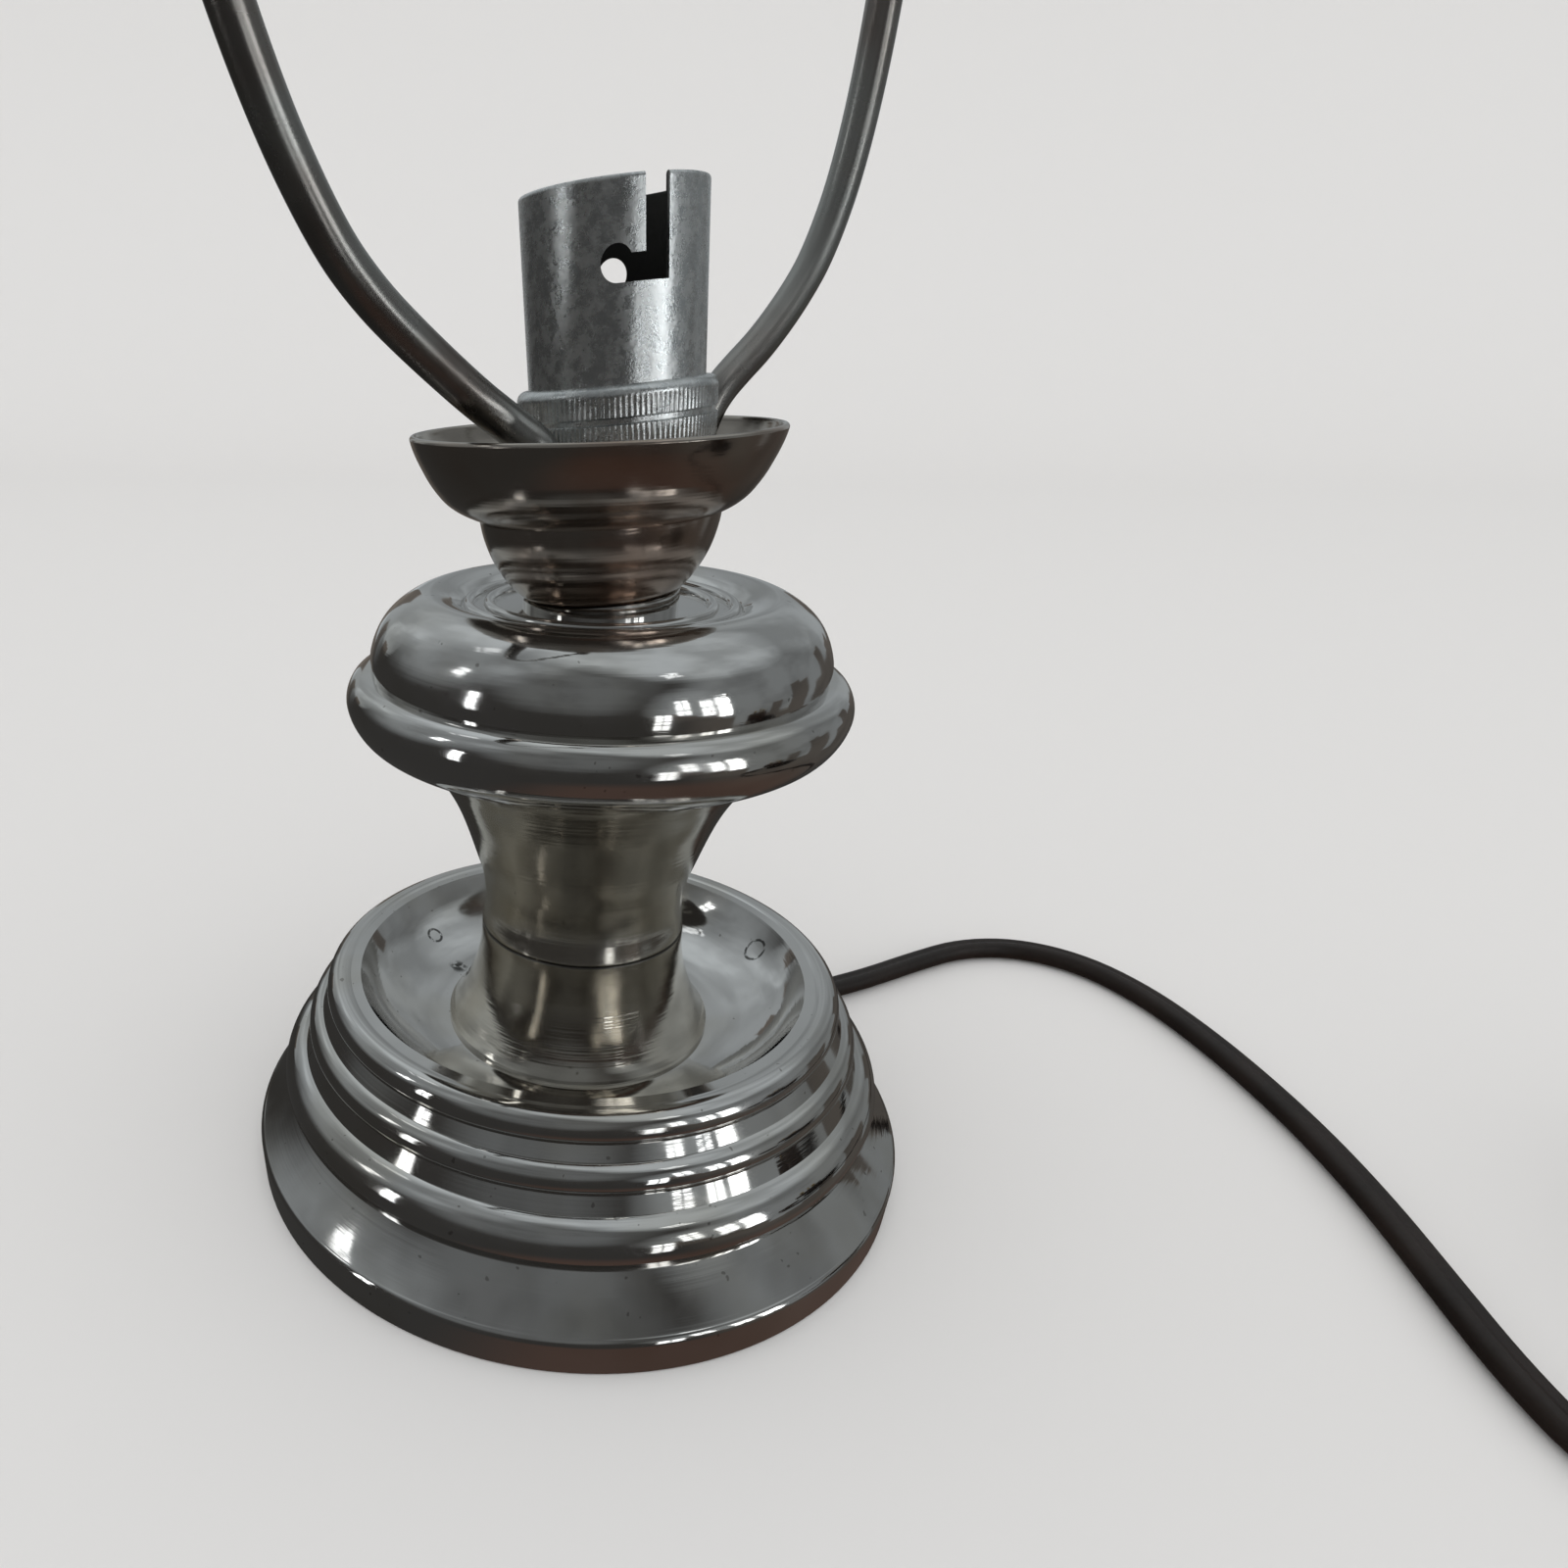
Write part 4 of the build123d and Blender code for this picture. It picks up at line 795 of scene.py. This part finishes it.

# %% [markdown]
# ## Satin zinc
# The lampholder's plate has gone dull: cloudy, finely pitted and scuffed, and duller inside the barrel where no hand
# reaches. There its colour is also darkened, as painted shade. It has no polish to wear, so it gets its own nodes
# instead of the wear group.

# %% Satin zinc of the lampholder
ZINC_DARK, ZINC_LIGHT, ZINC_CLOUD = (0.60, 0.62, 0.62), (0.80, 0.81, 0.80), (0.50, 0.52, 0.52)
SCUFF_COLOUR = (0.06, 0.06, 0.06)
# Colour of the painted shade inside the barrel.
PAINTED_BARREL_SHADE = (0.05, 0.05, 0.048)


def satin():
    """Dull plate, duller on the barrel's inside, where painted shade darkens its colour."""
    mat, tree, bsdf = new_material("satin_zinc", (0.45, 0.47, 0.47), 1.0, 0.36)
    place = object_place(tree)
    mottle = mapped(tree, noise_at(tree, place, 560, 5, 0.7), 0.34, 0.68, 0, 1)
    cloud = mapped(tree, noise_at(tree, place, 95, 3, 0.5), 0.4, 0.65, 0, 1)
    colour = mixed(tree, mottle, ZINC_DARK, ZINC_LIGHT)
    colour = mixed(tree, calc_in(tree, "MULTIPLY", cloud, 0.22), colour, ZINC_CLOUD)
    scuff = mapped(tree, noise_at(tree, place, 150, 4, 0.75, (1.0, 1.0, 0.3)), 0.73, 0.79, 0, 0.6)
    colour = mixed(tree, scuff, colour, SCUFF_COLOUR)
    parts = parts_of(tree, place)
    squares = [calc_in(tree, "POWER", part, 2.0) for part in parts[:2]]
    across = calc_in(tree, "SQRT", calc_in(tree, "ADD", *squares))
    inside = mapped(tree, across, 0.0119, 0.0116, 0, 1)
    # Painted shade: the colour is darkened on the barrel's inside.
    tree.links.new(mixed(tree, inside, colour, PAINTED_BARREL_SHADE), bsdf.inputs["Base Color"])
    rough = mapped(tree, mottle, 0, 1, 0.24, 0.31)
    dull = calc_in(tree, "MAXIMUM", rough, calc_in(tree, "MULTIPLY", inside, 0.65))
    tree.links.new(dull, bsdf.inputs["Roughness"])
    tree.links.new(bumped(tree, noise_at(tree, place, 900, 4, 0.7), 0.35, 0.0002), bsdf.inputs["Normal"])
    return mat


satin_zinc = satin()
print("satin zinc nodes", len(satin_zinc.node_tree.nodes))

# %% [markdown]
# ## Moulded and pressed surfaces
# The cord's sheath, the plug, the holder's insides, the iron weight and the cork pad are all mouldings or castings with
# a fine grain and a slow change of tone. One group makes both, and each material gives it a colour and a grain.

# %% Grain of mouldings
PALER = 1.6
grain, given, made = new_group("moulding grain", (
    ("Base", COLOUR), ("Pale", COLOUR), ("Rough", FLOAT), ("Grain", FLOAT), ("Depth", FLOAT),
))
place = object_place(grain)
tone = mapped(grain, noise_at(grain, place, 60, 4), 0.35, 0.7, 0, 1)
put(grain, made["Colour"], mixed(grain, tone, given["Base"], given["Pale"]))
fine = noise_at(grain, place, given["Grain"], 3, 0.6)
rougher = calc_in(grain, "ADD", given["Rough"], 0.12)
put(grain, made["Roughness"], mapped(grain, fine, 0.3, 0.7, given["Rough"], rougher))
put(grain, made["Normal"], bumped(grain, fine, 0.35, given["Depth"]))


def moulded(name, base, rough, grain_scale, metallic=0.0, depth=0.0001):
    """A moulded or pressed surface."""
    mat, tree, bsdf = new_material(name, base, metallic, rough)
    pale = tuple(min(1.0, c * PALER) for c in base)
    use_group(tree, bsdf, grain, Base=base, Pale=pale, Rough=rough, Grain=grain_scale, Depth=depth)
    return mat


cord_skin = moulded("cord_skin", (0.011, 0.0065, 0.0045), 0.40, 900)
dark_moulding = moulded("dark_moulding", (0.022, 0.014, 0.011), 0.26, 1800)
bakelite = moulded("bakelite", (0.045, 0.024, 0.014), 0.22, 1400)
iron = moulded("iron", (0.05, 0.05, 0.052), 0.62, 420, 0.7, 0.0006)
cork = moulded("cork", (0.30, 0.19, 0.11), 0.85, 520, 0.0, 0.0007)
fibre = moulded("fibre", (0.20, 0.06, 0.04), 0.6, 900)
print("materials", len(bpy.data.materials))

# %% [markdown]
# Every piece gets its material here, also those inside.

# %% Which piece has which material
SURFACES = {
    nickel: ("base_skin", "rim_skin", "dome_skin", "finial_skin", "neck_collar"),
    column_nickel: ("foot_skin", "stem_skin"),
    cup_nickel: ("bowl_skin", "cup_skin"),
    wire_metal: ("harp_wire", "harp_saddle", "harp_boss"),
    satin_zinc: ("ring_skin", "barrel_skin", "holder_cap"),
    steel: ("base_washer", "base_nut", "tie_rod", "deck_spacer", "coupling_block", "nipple", "bowl_washer",
            "stack_spacer", "cap_nut", "spring_right", "spring_left", "switch_screw_near", "switch_screw_far"),
    brass: ("plunger_right", "plunger_left", "plug_pin_live", "plug_pin_neutral", "plug_pin_earth"),
    cord_skin: ("cord", "lead", "inner_cord", "grommet"),
    dark_moulding: ("switch_low", "switch_top", "switch_rocker", "plug_low", "plug_top"),
    bakelite: ("holder_body", "holder_lid"),
    iron: ("base_weight",),
    cork: ("base_pad",),
    fibre: ("cup_packing",),
}
for material, names in SURFACES.items():
    for name in names:
        surface = bpy.data.objects[name]
        if surface.material_slots:
            for held in surface.material_slots:
                held.material = material
        else:
            surface.data.materials.append(material)
print("dressed pieces", sum(len(names) for names in SURFACES.values()))

# %% [markdown]
# ## Floor
# The lamp stands on a pale table in a photographer's sweep: the floor curves up into a backdrop, so there is no corner
# behind it. Mirror rays don't see the floor, because they are given a room of their own in the next step.

# %% Floor
SWEEP_START, SWEEP_R, SWEEP_TOP, SWEEP_HALF = 1.2, 0.8, 4.0, 5.0
PAPER = (0.80, 0.79, 0.775)


def sweep_floor():
    """A floor that curves up into the backdrop."""
    turned = [radians(a) for a in range(9, 91, 9)]
    line = [(-2.5, 0.0), (SWEEP_START, 0.0)]
    line += [(SWEEP_START + SWEEP_R * sin(a), SWEEP_R - SWEEP_R * cos(a)) for a in turned]
    line.append((SWEEP_START + SWEEP_R, SWEEP_TOP))
    bm = bmesh.new()
    rows = [[bm.verts.new((x, y, z)) for x in (-SWEEP_HALF, SWEEP_HALF)] for y, z in line]
    for a, b in zip(rows, rows[1:]):
        bm.faces.new((a[0], a[1], b[1], b[0]))
    floor = mesh_object("floor", bm, 60)
    paper, tree, bsdf = new_material("floor_paper", PAPER, 0.0, 0.9)
    bsdf.inputs["Specular IOR Level"].default_value = 0.1
    floor.data.materials.append(paper)
    floor.visible_glossy = False
    print("floor rows", len(rows))


sweep_floor()

# %% [markdown]
# ## Room in the mirror
# Polished metal has almost no colour of its own: it shows the room. Under an even white sky it would look like chalk.
# So the world has two faces. Camera rays and soft light see plain white, and mirror rays see a dim room: pale walls and
# a ceiling behind and to the right, dark furniture whose tops make an uneven line, a reddish floor, and windows with
# bars. The room is built from directions, so it stays still when the camera moves.

# %% World helpers
world = bpy.data.worlds.new("room")
scene.world = world
world.use_nodes = True
room = world.node_tree
room.nodes.clear()


def calc(operation, a, b=0.0):
    """One step of arithmetic in the room."""
    return calc_in(room, operation, a, b)


def within(value, middle, half, edge):
    """1 where value is within half of middle, fading over edge."""
    off = calc("ABSOLUTE", calc("SUBTRACT", value, middle))
    return mapped(room, off, half, half + edge, 1.0, 0.0)


def toward(turn_deg, rise_deg, far_deg, near_deg):
    """1 near a direction, fading to 0 far_deg away from it."""
    a, e = radians(turn_deg), radians(rise_deg)
    dot = room.nodes.new("ShaderNodeVectorMath")
    dot.operation = "DOT_PRODUCT"
    room.links.new(way, dot.inputs[0])
    dot.inputs[1].default_value = (cos(a) * cos(e), sin(a) * cos(e), sin(e))
    return mapped(room, dot.outputs["Value"], cos(radians(far_deg)), cos(radians(near_deg)), 0.0, 1.0)


def steps_of(value, width, low, high):
    """A level that changes at each step of width, like the tops of furniture along a wall."""
    step = calc("FLOOR", calc("DIVIDE", value, width))
    noise = room.nodes.new("ShaderNodeTexWhiteNoise")
    noise.noise_dimensions = "1D"
    room.links.new(step, noise.inputs["W"])
    return calc("ADD", calc("MULTIPLY", noise.outputs["Value"], high - low), low)


way = room.nodes.new("ShaderNodeTexCoord").outputs["Generated"]
split = room.nodes.new("ShaderNodeSeparateXYZ")
room.links.new(way, split.inputs[0])
turn = calc("MULTIPLY", calc("ARCTAN2", split.outputs[1], split.outputs[0]), 180 / pi)
rise = calc("MULTIPLY", calc("ARCSINE", split.outputs[2]), 180 / pi)
print("room directions ready")

# %% Walls and furniture
WALLS = ((8, 4, 66, 42, 0.17), (28, 66, 46, 22, 0.46), (-40, 14, 30, 10, 0.24), (88, 34, 60, 36, 0.31),
         (-104, 46, 44, 18, 0.10))
PATCHES = ((108, -10, 14, 9, 0.18), (136, 14, 13, 9, 0.22), (160, 50, 50, 24, 0.24))
WARM_LOW, COOL_HIGH = (1.0, 0.86, 0.74), (0.91, 0.99, 1.03)
DIM_ROOM = (0.041, 0.040, 0.0385)
RED_FLOOR = (0.105, 0.062, 0.048)


def brightest(lobes):
    """The brightest of several soft lights, each a direction, its fading and its power."""
    most = None
    for turned, risen, far, near, power in lobes:
        lobe = calc("MULTIPLY", toward(turned, risen, far, near), power)
        most = lobe if most is None else calc("MAXIMUM", most, lobe)
    return most


patchy = mapped(room, noise_at(room, way, 2.6, 3, 0.5), 0.35, 0.62, 0.72, 1.12)
light = calc("ADD", brightest(WALLS), brightest(PATCHES))
skyline = steps_of(turn, 7.0, -20.0, 12.0)
above = mapped(room, calc("SUBTRACT", rise, skyline), -0.6, 0.6, 0.0, 1.0)
shaded = calc("ADD", calc("MULTIPLY", above, 0.72), 0.28)
light = calc("MULTIPLY", calc("MULTIPLY", light, shaded), patchy)
scaled = room.nodes.new("ShaderNodeVectorMath")
scaled.operation = "SCALE"
room.links.new(mixed(room, above, WARM_LOW, COOL_HIGH), scaled.inputs[0])
room.links.new(light, scaled.inputs["Scale"])
dim = room.nodes.new("ShaderNodeVectorMath")
dim.inputs[1].default_value = DIM_ROOM
room.links.new(scaled.outputs[0], dim.inputs[0])
low_down = mapped(room, rise, -24, -50, 0, 1)
red_floor = calc("MULTIPLY", calc("MULTIPLY", low_down, toward(-20, -50, 70, 40)), 0.6)
room_colour = mixed(room, red_floor, dim.outputs[0], RED_FLOOR)
print("walls", len(WALLS) + len(PATCHES))

# %% Windows
WINDOWS = (
    (-27, 8, 3.0, 14, 4.2), (-36, 10, 2.6, 12, 3.0), (-48, 15, 3.0, 10, 2.4), (-58, -5, 3.2, 13, 2.6),
    (-36, 56, 6.0, 3.0, 1.1), (-150.5, 6, 2.4, 14, 3.8), (-169, 34, 2.6, 4.5, 2.6), (155, 58, 5.0, 3.5, 0.7),
)
PANE_RISE = 7.0
DAYLIGHT = (0.95, 0.98, 1.0)

shine = None
for middle, height, half, tall, power in WINDOWS:
    pane = calc("MULTIPLY", within(turn, middle, half, 0.7), within(rise, height, tall, 0.7))
    between_bars = calc("ABSOLUTE", calc("SUBTRACT", calc("FRACT", calc("DIVIDE", rise, PANE_RISE)), 0.5))
    bars = mapped(room, between_bars, 0.39, 0.44, 1, 0)
    posts = mapped(room, calc("ABSOLUTE", calc("SUBTRACT", turn, middle)), 0.25, 0.6, 0.1, 1)
    pane = calc("MULTIPLY", calc("MULTIPLY", calc("MULTIPLY", pane, bars), posts), power)
    shine = pane if shine is None else calc("ADD", shine, pane)
print("windows", len(WINDOWS))

# %% Light
SOFT_WHITE = (0.985, 0.99, 1.0)


def background(colour, strength):
    """Light from everywhere, in a colour and strength that may change with the direction."""
    node = room.nodes.new("ShaderNodeBackground")
    put(room, node.inputs["Color"], colour)
    put(room, node.inputs["Strength"], strength)
    return node.outputs[0]


both = room.nodes.new("ShaderNodeAddShader")
room.links.new(background(room_colour, 1.0), both.inputs[0])
room.links.new(background(DAYLIGHT, shine), both.inputs[1])
choose = room.nodes.new("ShaderNodeMixShader")
paths = room.nodes.new("ShaderNodeLightPath")
room.links.new(paths.outputs["Is Glossy Ray"], choose.inputs["Fac"])
room.links.new(background(SOFT_WHITE, 1.0), choose.inputs[1])
room.links.new(both.outputs[0], choose.inputs[2])
out = room.nodes.new("ShaderNodeOutputWorld")
room.links.new(choose.outputs[0], out.inputs["Surface"])
scene.view_settings.view_transform = "Standard"
print("world nodes", len(room.nodes))
